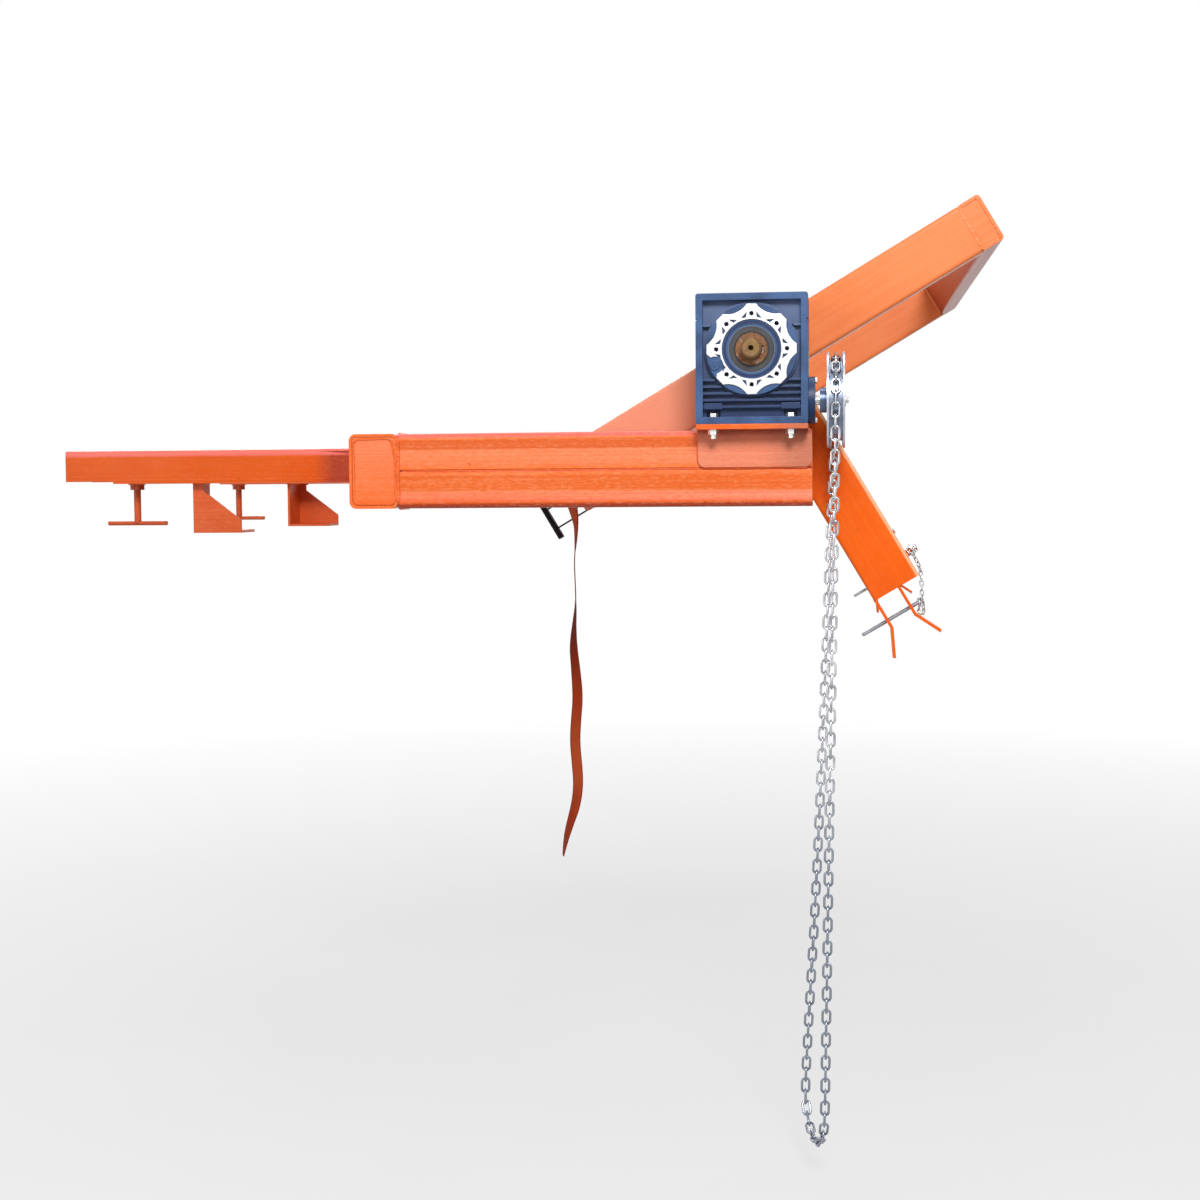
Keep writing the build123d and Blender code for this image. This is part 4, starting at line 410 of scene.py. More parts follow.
def casting(name, face=None):
    """Satin paint over a cast skin. A face is (sign, y): beyond it the metal is machined bare."""
    material, tree, bsdf = shader(name, Coat_Weight=0.06, Coat_Roughness=0.3, Specular_IOR_Level=0.30)
    spot = place(tree)
    colour = ramp(tree, cloud(tree, spot, 22, 5), [(0.34, BLUE_DARK), (0.66, BLUE_BRIGHT)])
    # In the recess, painted shade low down and painted light high up
    sunk = sums(tree, "COMPARE", coordinate(tree, spot, "Y"), RECESS_Y, RECESS_HALF)
    tone = stretched(tree, coordinate(tree, spot, "Z"), RECESS_LOW, RECESS_HIGH)
    shade = ramp(tree, tone, [(0, BLUE_PAINTED_SHADE), (1, BLUE_PAINTED_LIGHT)])
    colour = mix(tree, sums(tree, "MULTIPLY", sunk, 0.8), colour, shade)
    normal, edge = rounded(tree, PAINT_EDGE)
    # Edges lighter: rubbed paint and a painted edge highlight
    worn = levels(tree, cloud(tree, spot, 90, 5, 0.7), (0.5, 0.15), (0.72, 0.8))
    colour = mix(tree, sums(tree, "MULTIPLY", edge, worn, clamp=True), colour, BLUE_RUBBED_AND_HIGHLIGHT)
    rough = levels(tree, cloud(tree, spot, 60, 3), (0.3, 0.34), (0.7, 0.52))
    if face:
        sign, height = face
        beyond = "LESS_THAN" if sign < 0 else "GREATER_THAN"
        bare = sums(tree, beyond, coordinate(tree, spot, "Y"), height)
        unplugged = sums(tree, "GREATER_THAN", off_axis(tree, spot, PLUG), PLUG_RADIUS)
        bare = sums(tree, "MULTIPLY", bare, unplugged)
        turned = ramp(tree, cloud(tree, place(tree, LATHE), 1, 2), [(0.3, BARE_DARK), (0.7, BARE_BRIGHT)])
        colour = mix(tree, bare, colour, turned)
        # Painted shade in rings round the cover's bore
        colour = mix(tree, levels(tree, from_pivot(tree, spot), *COVER_RING_SHADE), colour, BLUE_PAINTED_SHADE)
        rough = mix(tree, bare, rough, grey(0.36))
        connect(tree, bsdf, Metallic=sums(tree, "MULTIPLY", bare, 0.85))
    connect(tree, bsdf, Base_Color=colour, Roughness=rough)
    bumps(tree, bsdf, cloud(tree, spot, 620, 2, 0.5), 0.25, 0.0006, normal)
    return material


blue_cast = casting("blue_cast_paint")
near_cover_metal = casting("near_cover_finish", (-1, -0.8822))
far_cover_metal = casting("far_cover_finish", (1, -0.7318))


def metal(
    name, first, second, low, high, spots=45, grain=(300, 300, 300), relief=0.06, dull=(), darker_below=None
):
    """Bare or plated metal with cloudy tone and fine grain, as rough as low to high.

    Each of dull is (x, half width, colour): the colour is laid on within half width of x. The darkening below
    is (top, bottom, colour): the colour grows downwards.
    """
    material, tree, bsdf = shader(name, Metallic=1.0)
    spot = place(tree)
    colour = ramp(tree, cloud(tree, spot, spots, 5, 0.6), [(0.32, first), (0.68, second)])
    for x, half, laid in dull:
        near = sums(tree, "COMPARE", coordinate(tree, spot, "X"), x, half)
        colour = mix(tree, near, colour, laid)
    # Darker towards the bottom
    if darker_below:
        top, bottom, laid = darker_below
        fall = stretched(tree, coordinate(tree, spot, "Z"), top, bottom)
        colour = mix(tree, sums(tree, "MULTIPLY", fall, 0.8), colour, laid)
    fine = cloud(tree, place(tree, grain), 1, 3)
    connect(tree, bsdf, Base_Color=colour, Roughness=levels(tree, fine, (0.3, low), (0.7, high)))
    normal, _ = rounded(tree, METAL_EDGE)
    bumps(tree, bsdf, fine, relief, 0.0005, normal)
    return material


# The hand chain's zinc turns darker and bluer towards the bottom
CHAIN_DARKER_BELOW = (-0.60, -0.85, (0.21, 0.24, 0.30))
# The chain wheel: painted shade in the groove between its cheeks, and a darker blue-grey on its hub
WHEEL_DARKER_BANDS = [(1.745, 0.0133, (0.25, 0.29, 0.38)), (1.710, 0.0170, (0.12, 0.16, 0.27))]
zinc = metal("bright_zinc", (0.34, 0.35, 0.36), (0.62, 0.63, 0.64), 0.22, 0.42)
chain_zinc = metal(
    "chain_zinc", (0.32, 0.33, 0.36), (0.68, 0.69, 0.71), 0.12, 0.26, darker_below=CHAIN_DARKER_BELOW
)
bolt_zinc = metal("bolt_zinc", (0.60, 0.60, 0.58), (0.82, 0.82, 0.80), 0.24, 0.40)
pin_zinc = metal(
    "pin_zinc", (0.22, 0.22, 0.25), (0.42, 0.42, 0.45), 0.20, 0.36, grain=(60, 900, 60), relief=0.01
)
wheel_zinc = metal(
    "wheel_zinc", (0.40, 0.42, 0.47), (0.66, 0.68, 0.73), 0.24, 0.44, spots=30, dull=WHEEL_DARKER_BANDS
)
bearing_steel = metal(
    "bearing_steel", (0.48, 0.48, 0.48), (0.66, 0.66, 0.65), 0.18, 0.34, grain=(500, 40, 500)
)
gear_bronze = metal(
    "gear_bronze", (0.56, 0.34, 0.12), (0.76, 0.52, 0.22), 0.22, 0.40, grain=(400, 60, 400)
)


def rusted(name, metal_tone, rust_dark, rust_light, share):
    """Machined steel under a film of rust."""
    material, tree, bsdf = shader(name)
    spot = place(tree)
    film = levels(tree, cloud(tree, spot, 70, 7, 0.65), (share - 0.10, 0), (share + 0.08, 1))
    rust = ramp(tree, cloud(tree, spot, 190, 6, 0.7), [(0.32, rust_dark), (0.68, rust_light)])
    connect(
        tree, bsdf,
        Base_Color=mix(tree, film, metal_tone, rust),
        Metallic=sums(tree, "SUBTRACT", 0.95, film, clamp=True),
        Roughness=sums(tree, "MULTIPLY_ADD", film, 0.4, 0.30),
    )
    normal, _ = rounded(tree, METAL_EDGE)
    bumps(tree, bsdf, cloud(tree, spot, 800, 4), 0.2, 0.0006, normal)
    return material


rusty_journal = rusted(
    "rusty_journal", (0.34, 0.27, 0.20), (0.09, 0.028, 0.010), (0.30, 0.12, 0.035), 0.38
)
shaft_steel = rusted(
    "yellow_shaft", (0.21, 0.125, 0.046), (0.10, 0.038, 0.014), (0.20, 0.102, 0.034), 0.52
)


def matt(name, first, second, low, high, shine, rings=()):
    """A dull dark surface with grain, as rough as low to high.

    Each of rings is (stops, colour), with stops in tenths of a metre from the pivot axis.
    """
    material, tree, bsdf = shader(name, Specular_IOR_Level=shine)
    spot = place(tree)
    colour = ramp(tree, cloud(tree, spot, 90, 4), [(0.3, first), (0.7, second)])
    for stops, laid in rings:
        colour = mix(tree, levels(tree, from_pivot(tree, spot), *stops), colour, laid)
    fine = cloud(tree, spot, 700, 3)
    connect(tree, bsdf, Base_Color=colour, Roughness=levels(tree, fine, (0.3, low), (0.7, high)))
    normal, _ = rounded(tree, RUBBER_EDGE)
    bumps(tree, bsdf, fine, 0.2, 0.0005, normal)
    return material


# Seal: painted shade at its inner edge and in a thin ring across it, and a blue band near its rim
SEAL_RINGS = [
    ([(0.345, 1), (0.350, 0), (0.415, 0), (0.420, 1), (0.428, 1), (0.433, 0)], (0.006, 0.006, 0.008)),
    ([(0.433, 0), (0.438, 0.8), (0.458, 0.8), (0.464, 0)], (0.085, 0.135, 0.240)),
]
seal_rubber = matt(
    "seal_rubber", (0.018, 0.018, 0.020), (0.046, 0.045, 0.048), 0.5, 0.7, 0.5, rings=SEAL_RINGS
)
black_enamel = matt("black_enamel", (0.004, 0.004, 0.006), (0.014, 0.014, 0.018), 0.35, 0.55, 0.12)

# Strap webbing: its size, the pitch of its weave and its colours, with painted shade in the weave's hollows
# and painted light on its ribs
STRAP_WIDTH, STRAP_THICKNESS = 0.025, 0.0022
WEFT, WARP = 0.0032, 0.0024
WEB_SOILED, WEB_CLEAN = (0.22, 0.022, 0.006), (0.38, 0.042, 0.010)
WEB_HOLLOW_SHADE, WEB_RIB_LIGHT = (0.11, 0.011, 0.004), (0.44, 0.055, 0.014)
WEB_SELVEDGE = (0.16, 0.018, 0.006)
# Along the tail: lighter stretches of painted light and a dark stretch of painted shade
TAIL_LIGHT_AND_SHADE = [
    ([(0, 0.8), (0.03, 0.8), (0.09, 0.3), (0.14, 0)], (0.66, 0.150, 0.060)),
    ([(0.10, 0), (0.18, 0.75), (0.28, 0.75), (0.40, 0)], (0.080, 0.006, 0.006)),
    ([(0.42, 0), (0.52, 0.5), (0.58, 0.5), (0.66, 0)], (0.50, 0.095, 0.028)),
]


def woven(name, light_and_shade=()):
    """Strap webbing: ribs of the weave across and along, with painted shade in their hollows and painted
    light on their crests, darker selvedges, a little soil.

    Each stretch of painted light and shade is (stops, colour): the colour is laid on by the stops along the
    strap, in metres.
    """
    material, tree, bsdf = shader(name, Sheen_Weight=0.03, Sheen_Roughness=0.4, Specular_IOR_Level=0.06)
    flat = node(tree, "ShaderNodeTexCoord").outputs["UV"]
    run, off = coordinate(tree, flat, "X"), coordinate(tree, flat, "Y")
    weft = sums(tree, "SINE", sums(tree, "MULTIPLY", run, 2 * math.pi / WEFT))
    warp = sums(tree, "SINE", sums(tree, "MULTIPLY", off, 2 * math.pi / WARP))
    lift = sums(tree, "MULTIPLY_ADD", sums(tree, "MULTIPLY", weft, warp), 0.5, 0.5)
    base = ramp(tree, cloud(tree, place(tree), 26, 5, 0.6), [(0.3, WEB_SOILED), (0.7, WEB_CLEAN)])
    # Painted shade in the weave's hollows and painted light on its ribs
    colour = mix(tree, 0.45, base, mix(tree, lift, WEB_HOLLOW_SHADE, WEB_RIB_LIGHT))
    # Painted light and shade laid along the strap
    for stops, laid in light_and_shade:
        colour = mix(tree, levels(tree, run, *stops), colour, laid)
    rim = sums(tree, "MULTIPLY", sums(tree, "ABSOLUTE", off), 2 / STRAP_WIDTH)
    colour = mix(tree, levels(tree, rim, (0.80, 0), (0.88, 0.55)), colour, WEB_SELVEDGE)
    connect(tree, bsdf, Base_Color=colour, Roughness=levels(tree, lift, (0, 0.85), (1, 0.62)))
    bumps(tree, bsdf, lift, 0.6, 0.0006)
    return material


webbing = woven("strap_webbing")
tail_webbing = woven("tail_webbing", TAIL_LIGHT_AND_SHADE)

by_material = {
    orange_sleeve: ["near_fork_sleeve", "far_fork_sleeve", "sleeve_floors"],
    orange_foot: ["near_park_foot", "far_park_foot", "far_bearing_stand"],
    orange_screw: ["near_clamp_screw", "far_clamp_screw", "clamp_nuts"],
    orange_arm: ["near_arm_channels", "far_arm_channels", "arm_end_caps"],
    orange_saddle: ["gearbox_saddle"],
    orange_cap: ["cross_beam_caps"],
    orange_cross: ["cross_beam"],
    orange_back: ["back_beam"],
    orange_side: ["near_side_beam", "far_side_beam", "cradle_caps", "strap_lugs", "shaft_hubs"],
    orange_lift: [
        "near_lift_arm", "far_lift_arm", "lift_arm_plates", "near_trunnion_fork", "far_trunnion_fork",
        "tether_lugs",
    ],
    blue_cast: ["gearbox_housing", "input_flange", "worm_end_cap", "oil_plugs", "far_bearing_housing"],
    near_cover_metal: ["near_output_cover"],
    far_cover_metal: ["far_output_cover"],
    rusty_journal: ["hollow_shaft"],
    shaft_steel: ["drive_shaft", "idle_shaft"],
    bearing_steel: ["shaft_key", "worm_shaft", "output_bearings", "worm_bearings", "far_bearing_insert"],
    gear_bronze: ["worm_wheel_ring"],
    bolt_zinc: ["gearbox_foot_bolts", "input_flange_bolts", "far_bearing_bolts", "chain_wheel_bolt"],
    zinc: [
        "ratchet_frame", "ratchet_bolt", "ratchet_spindle", "hand_chain", "near_pin_tether", "far_pin_tether",
    ],
    pin_zinc: ["near_trunnion_pin", "far_trunnion_pin"],
    wheel_zinc: ["chain_wheel"],
    seal_rubber: ["oil_seals"],
    black_enamel: ["ratchet_handle"],
    webbing: ["strap_band"],
    tail_webbing: ["strap_tail"],
}
for material, names in by_material.items():
    for name in names:
        nodes[name].data.materials.clear()
        nodes[name].data.materials.append(material)


# Pieces
def piece(name, mesh, material, body):
    """A new object, on a body where one is given."""
    made = bpy.data.objects.new(name, mesh)
    mesh.materials.append(material)
    for face in mesh.polygons:
        face.use_smooth = True
    scene.collection.objects.link(made)
    if body:
        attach(made, body)
    return made


def mesh_of(name, vertices, faces):
    """A new mesh."""
    mesh = bpy.data.meshes.new(name)
    mesh.from_pydata(vertices, [], faces)
    mesh.update()
    return mesh


def hoop(a, b, count):
    """The faces between two rings of points, by the first point of each."""
    return [[a + k, b + k, b + (k + 1) % count, a + (k + 1) % count] for k in range(count)]


def spline_points(name, points, fineness=24):
    """Points along the smooth line that a route's control points give."""
    curve = bpy.data.curves.new(name, "CURVE")
    curve.dimensions = "3D"
    curve.resolution_u = fineness
    spline = curve.splines.new("NURBS")
    spline.points.add(len(points) - 1)
    for spot, point in zip(spline.points, points):
        spot.co = (*point, 1)
    spline.order_u = 3
    spline.use_endpoint_u = True
    holder = bpy.data.objects.new(name, curve)
    mesh = bpy.data.meshes.new_from_object(holder)
    line = [vertex.co.copy() for vertex in mesh.vertices]
    bpy.data.meshes.remove(mesh)
    bpy.data.objects.remove(holder)
    bpy.data.curves.remove(curve)
    return line


def walk(line):
    """The line's length and a function that gives the point and direction at a distance."""
    total = [0.0]
    for a, b in zip(line, line[1:]):
        total.append(total[-1] + (b - a).length)

    def at(distance):
        distance = min(max(distance, 0.0), total[-1])
        index = max(1, next((i for i, t in enumerate(total) if t >= distance), len(total) - 1))
        start, end = line[index - 1], line[index]
        share = (distance - total[index - 1]) / max(total[index] - total[index - 1], 1e-9)
        return start.lerp(end, share), (end - start).normalized()

    return total[-1], at


def link_rings(length, width, wire, turns, sides):
    """Rings of points of one welded link, long axis on X, flat in XY."""
    bend = (width - wire) / 2
    half = (length - wire) / 2 - bend
    rings = []
    for i in range(turns):
        angle = 2 * math.pi * (i + 0.5) / turns
        x, y = math.cos(angle), math.sin(angle)
        spot, outward = Vector((math.copysign(half, x) + bend * x, bend * y, 0)), Vector((x, y, 0))
        ring = []
        for k in range(sides):
            angle = 2 * math.pi * k / sides
            rise = Vector((0, 0, wire / 2 * math.sin(angle)))
            ring.append(spot + outward * (wire / 2 * math.cos(angle)) + rise)
        rings.append(ring)
    return rings


def chain_mesh(name, places, length, width, wire, turns=20, sides=10):
    """Links set one after another at places of (middle, course, face)."""
    rings = link_rings(length, width, wire, turns, sides)
    vertices, faces = [], []
    for middle, course, face in places:
        first = len(vertices)
        across = face.cross(course)
        for ring in rings:
            vertices += [middle + course * p.x + across * p.y + face * p.z for p in ring]
        for i in range(turns):
            faces += hoop(first + i * sides, first + (i + 1) % turns * sides, sides)
    return mesh_of(name, vertices, faces)


# Hand chain: over the wheel from its crest, down in front, round at the bottom and up behind. The route's
# corners lie WRAP out from the wheel's middle and BEND out from the bottom loop's.
WHEEL, CREST, WRAP = Vector((1.745, WORM.y, WORM.z)), 0.083, 0.0846
LOOP, BEND = Vector((1.7015, WORM.y, -1.307)), 0.0872
LOOP_SIDE = Vector((0.0205, -0.083, 0)).normalized()
FRONT_RUN = [Vector((1.743, -0.890, -0.039)), Vector((1.724, -0.890, -1.187))]
REAR_RUN = [Vector((1.688, -0.724, -1.187)), Vector((1.708, -0.724, -0.845)), Vector((1.740, -0.724, -0.039))]
HALF_TURN = [math.radians(11.25 + 22.5 * i) for i in range(8)]
QUARTER_TURN = HALF_TURN[:4]
LINKS, LINK_WIDTH, LINK_WIRE, LINK_OVERLAP = 146, 0.020, 0.005, 0.0108
# Where the first link is, in steps, and how many degrees the links sway by below a height
FIRST_LINK = 0.74
SWAY, SWAY_BELOW = 11, -0.05


def over_wheel(way, angle):
    """A point of the route over the wheel, by the angle from its top, in front or behind."""
    return WHEEL + Vector((0, way * WRAP * math.sin(angle), WRAP * math.cos(angle)))


def round_bottom(angle):
    """A point of the route round the bottom, by the angle from the front."""
    return LOOP + LOOP_SIDE * (BEND * math.cos(angle)) - Vector((0, 0, BEND * math.sin(angle)))


chain_line = spline_points(
    "chain_route",
    [
        WHEEL + Vector((0, 0, CREST)),
        *[over_wheel(-1, angle) for angle in QUARTER_TURN],
        *FRONT_RUN,
        *[round_bottom(angle) for angle in HALF_TURN],
        *REAR_RUN,
        *[over_wheel(1, angle) for angle in reversed(QUARTER_TURN)],
        WHEEL + Vector((0, 0, CREST)),
    ],
)
chain_length, chain_at = walk(chain_line)
step = chain_length / LINKS
places = []
for i in range(LINKS):
    here = (i + FIRST_LINK) * step
    middle, course = chain_at(here)
    reach = chain_at(here + step / 2)[0] - chain_at(here - step / 2)[0]
    if reach.length > step / 2:
        course = reach.normalized()
    flat = course.cross(Vector((1, 0, 0))).normalized()
    sway = math.radians(SWAY * noise.noise(Vector((i * 0.83, 4.1, 0.3))))
    if i % 2:
        flat = course.cross(flat).normalized()
    if middle.z < SWAY_BELOW:
        flat = Matrix.Rotation(sway, 3, course) @ flat
    places.append((middle, course, flat))
chain_links = chain_mesh("hand_chain_links", places, step + LINK_OVERLAP, LINK_WIDTH, LINK_WIRE)
hand_chain = piece("hand_chain_links", chain_links, chain_zinc, "frame")
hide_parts("hand_chain")

# Pin tethers: light chain from the lug past the eye of the pin and back up to it, with a ring at the eye and
# a bunch of them at the lug. The route's points are (u, w, out), out from the lug's middle plane. A ring is
# (u, w, u, w, roll, out): it joins two points and is rolled about that line by degrees.
LUG_Y = sum(BEAM) / 2
TETHER = [
    (0.066, 0.5081, 0), (0.066, 0.530, 0), (0.0595, 0.552, 0.0015), (0.0475, 0.5745, 0.005),
    (0.0345, 0.5964, 0.008), (0.028, 0.6155, 0.008), (0.0225, 0.6225, 0.0055), (0.017, 0.6175, 0.002),
    (0.0185, 0.6115, 0), (0.0245, 0.605, 0),
]
LUG_RINGS = [
    (0.0735, 0.501, 0.065, 0.510, 30, 0), (0.074, 0.502, 0.063, 0.505, -55, 0.001),
    (0.060, 0.492, 0.070, 0.506, 80, 0.0042), (0.070, 0.494, 0.079, 0.507, 75, 0.0044),
    (0.060, 0.506, 0.072, 0.497, 65, 0.0055), (0.066, 0.490, 0.080, 0.497, 80, 0.005),
    (0.062, 0.495, 0.072, 0.506, 80, -0.0042),
]
EYE_RINGS = [(0.030, 0.599, 0.0235, 0.6065, 25, 0)]
# Width, wire, turns and sides of a link, and the same after the length of a ring
TETHER_LINK, RING = (0.0092, 0.0024, 16, 8), (0.0180, 0.0115, 0.0028, 16, 8)
# How many links there are, how far they overlap, and the degrees of the first one's roll and of the twist
TETHER_LINKS, TETHER_OVERLAP = 15, 0.0050
TETHER_ROLL, TETHER_TWIST = 35, 9


def tether_point(s, u, w, out):
    """A point beside the lug of one side."""
    return cradle(u, w, s * (LUG_Y + out))


def ring_place(s, u0, w0, u1, w1, roll, out):
    """Where a ring of one side sits."""
    start, end = tether_point(s, u0, w0, out), tether_point(s, u1, w1, out)
    course = (end - start).normalized()
    rolled = Matrix.Rotation(math.radians(roll), 3, course)
    return (start + end) / 2, course, rolled @ course.cross(ACROSS)


for word, s in SIDES.items():
    line = spline_points(word + "_tether_route", [tether_point(s, *point) for point in TETHER])
    length, at = walk(line)
    gap = length / TETHER_LINKS
    places = []
    for i in range(TETHER_LINKS):
        middle, course = at((i + 0.5) * gap)
        flat = course.cross(ACROSS).normalized()
        roll = TETHER_ROLL + 90 * (i % 2) + TETHER_TWIST * i
        places.append((middle, course, Matrix.Rotation(math.radians(roll), 3, course) @ flat))
    name, pin = word + "_tether_links", word + "_pin"
    tether = piece(name, chain_mesh(name, places, gap + TETHER_OVERLAP, *TETHER_LINK), zinc, None)
    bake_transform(tether)
    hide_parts(word + "_pin_tether")
    for end, body, rings in (("lug", "cradle", LUG_RINGS), ("eye", pin, EYE_RINGS)):
        name = f"{word}_{end}_rings"
        piece(name, chain_mesh(name, [ring_place(s, *ring) for ring in rings], *RING), zinc, body)


# Straps, with a profile in shares of the width and thickness
STRAP_PROFILE = [
    (-0.5, 0.15), (-0.485, 0.5), (-0.25, 0.5), (0, 0.5), (0.25, 0.5), (0.485, 0.5), (0.5, 0.15),
    (0.5, -0.15), (0.485, -0.5), (0.25, -0.5), (0, -0.5), (-0.25, -0.5), (-0.485, -0.5), (-0.5, -0.15),
]


def ribbon(name, stations):
    """A flat strap along stations of (middle, across, out), with its run and width as UV."""
    count = len(STRAP_PROFILE)
    last = (len(stations) - 1) * count
    vertices, faces, run, spots = [], [], 0.0, []
    for i, (middle, across, out) in enumerate(stations):
        if i:
            run += (middle - stations[i - 1][0]).length
        for a, b in STRAP_PROFILE:
            vertices.append(middle + across * (a * STRAP_WIDTH) + out * (b * STRAP_THICKNESS))
            spots.append((run, a * STRAP_WIDTH))
    for first in range(0, last, count):
        faces += hoop(first, first + count, count)
    faces.append(list(range(count)))
    faces.append([last + k for k in reversed(range(count))])
    mesh = mesh_of(name, vertices, faces)
    layer = mesh.uv_layers.new(name="run")
    for loop in mesh.loops:
        layer.data[loop.index].uv = spots[loop.vertex_index]
    return mesh


# The loose tail, as (x, z) from its top, and the degrees that it is turned by at depths below that
TAIL_TOP = Vector((1.19496, -0.625, -0.12181))
TAIL = [
    (0, 0.0013), (0.009, -0.032), (0.008, -0.075), (0.004, -0.117), (0.0055, -0.159), (0.007, -0.208),
    (0.0025, -0.256), (0.0005, -0.300), (0.005, -0.345), (0.0095, -0.405), (0.005, -0.453), (0.002, -0.500),
    (0.006, -0.546), (0.009, -0.592), (0.003, -0.636), (-0.010, -0.676), (-0.020, -0.712), (-0.025, -0.743),
]
TWIST = [
    (0, 28), (0.045, 63), (0.100, 82), (0.200, 82), (0.255, 64), (0.305, 42), (0.390, 24), (0.560, 22),
    (0.640, 34), (0.700, 56), (0.743, 78),
]
TAIL_STEPS = 160


def twist(fall):
    """The tail's turn at a depth."""
    low, high = next(((a, b) for a, b in zip(TWIST, TWIST[1:]) if fall <= b[0]), TWIST[-2:])
    return math.radians(low[1] + (high[1] - low[1]) * (fall - low[0]) / (high[0] - low[0]))


tail_points = [TAIL_TOP + Vector((x, 0, z)) for x, z in TAIL]
tail_line = spline_points("tail_route", tail_points, fineness=12)
tail_length, tail_at = walk(tail_line)
stations = []
for i in range(TAIL_STEPS + 1):
    middle, course = tail_at(i / TAIL_STEPS * tail_length)
    angle = twist(TAIL_TOP.z - middle.z)
    across = Vector((math.cos(angle), -math.sin(angle), 0))
    across = (across - course * across.dot(course)).normalized()
    stations.append((middle, across, course.cross(across).normalized()))
tail_mesh = ribbon("strap_tail_webbing", stations)
strap_tail = piece("strap_tail_webbing", tail_mesh, tail_webbing, "tail")
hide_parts("strap_tail")

# The band from the ratchet to the far lug and its sewn end, and the short loop at the near lug, as (u, y) at
# one w
STRAP_W = 0.058
BAND = [
    (-0.4835, -0.625), (-0.4712, -0.625), (-0.451, -0.569), (-0.451, -0.420), (-0.451, 0.540),
    (-0.451, 0.6394), (-0.4685, 0.6394), (-0.4685, 0.6266), (-0.4537, 0.594), (-0.4537, 0.559),
]
NEAR_LOOP = [
    (-0.451, -0.6035), (-0.4455, -0.6035), (-0.4455, -0.6145), (-0.451, -0.6266), (-0.451, -0.6394),
    (-0.4685, -0.6394), (-0.4685, -0.6266), (-0.4565, -0.6145), (-0.4565, -0.6035), (-0.451, -0.6035),
]
for name, route, fineness in (("strap_band_webbing", BAND, 40), ("strap_loop_webbing", NEAR_LOOP, 12)):
    points = [cradle(u, STRAP_W, y) for u, y in route]
    line = spline_points(name + "_route", points, fineness)
    stations = []
    for back, middle, forth in zip([line[0], *line], line, [*line[1:], line[-1]]):
        course = (forth - back).normalized()
        stations.append((middle, DOWN.copy(), course.cross(DOWN).normalized()))
    strap = piece(name, ribbon(name, stations), webbing, "cradle")
    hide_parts("strap_band")
    if route is BAND:
        length, _ = walk(line)

# Weld beads along the joints of the frame and the cradle
BEAD_SIDES, BEAD_PITCH, BEAD_END = 8, 0.0032, 0.55
# How far the beads stay inside the CAD box
BOX_MARGIN = 0.0002


def bead(vertices, faces, points, radius, seed, closed):
    """Adds one rippled bead along straight runs between points."""
    line = points + points[:1] if closed else points
    length, at = walk(line)
    count = max(3, int(length / BEAD_PITCH))
    first = len(vertices)
    for i in range(count + 1):
        middle, course = at(length * i / count)
        axis = Vector((0, 0, 1)) if abs(course.z) < 0.8 else Vector((1, 0, 0))
        left = course.cross(axis).normalized()
        top = left.cross(course)
        ripple = 1 + 0.10 * math.sin(i * 2.1) + 0.20 * noise.noise(Vector((i * 0.35, seed * 7.3, 1.7)))
        fade = BEAD_END if not closed and i in (0, count) else 1
        for k in range(BEAD_SIDES):
            angle = 2 * math.pi * k / BEAD_SIDES
            spot = middle + (left * math.cos(angle) + top * math.sin(angle)) * (radius * ripple * fade)
            spot.y = min(spot.y, cad_box[1][1] - BOX_MARGIN)
            vertices.append(spot)
    for i in range(count):
        for k in range(BEAD_SIDES):
            a, b, turned = first + i * BEAD_SIDES, first + (i + 1) * BEAD_SIDES, (k + 1) % BEAD_SIDES
            faces.append([a + k, a + turned, b + turned, b + k])
    faces.append([first + k for k in reversed(range(BEAD_SIDES))])
    faces.append([first + count * BEAD_SIDES + k for k in range(BEAD_SIDES)])


def welds(name, runs, body, material):
    """All the beads of one body as one piece."""
    vertices, faces = [], []
    for seed, (radius, closed, points) in enumerate(runs):
        bead(vertices, faces, [Vector(p) for p in points], radius, seed, closed)
    piece(name, mesh_of(name, vertices, faces), material, body)


def over(first, last, beam, inset):
    """A run over a beam, as far in from its outer face as from its inner one."""
    outer, inner = beam
    return [(first, outer - inset, last), (first, inner + inset, last)]


def circle(radius, count):
    """Points round the origin."""
    return [
        (radius * math.cos(2 * math.pi * i / count), radius * math.sin(2 * math.pi * i / count))
        for i in range(count)
    ]


# Each weld is (radius, closed, points). A side's welds have y as on the far side.
OPEN, CLOSED = False, True
# The arm's groove as (z, depth), the rims of the cross beam's end as (x, z) and of the back beam's as (u, w),
# the rings round a clamp nut and a shaft hub, the nut's middle, and where beads lie on a face
GROOVED = [(0.012, 0), (-0.008, 0.0035), (-0.042, 0), (-0.060, 0), (-0.094, 0.0035), (-0.114, 0)]
CROSS_RIM = [
    (0.781, 0.006), (0.789, 0.0135), (0.852, 0.0145), (0.8595, 0.009), (0.8660, -0.030), (0.8665, -0.112),
    (0.858, -0.117), (0.788, -0.1165), (0.781, -0.110),
]
BACK_RIM = [
    (0.5000, -0.0400), (0.5340, -0.0400), (0.5370, -0.0370), (0.5370, 0.0510), (0.5340, 0.0540),
    (0.5000, 0.0540), (0.4970, 0.0510), (0.4970, -0.0370),
]
NUT_RING, HUB_RING = 0.0172, 0.0453
NUT_X, NUT_Y = 0.139, 0.356
HUB_Y = BEAM_OUT + 0.0006
SLEEVE_X = CROSS_FRONT - 0.0005
SLEEVE_Z = SLEEVE_UNDER - 0.0002
ON_ARM = ARM_TOP + 0.0005
APRON_Y = -ARM_OUT - 0.0008
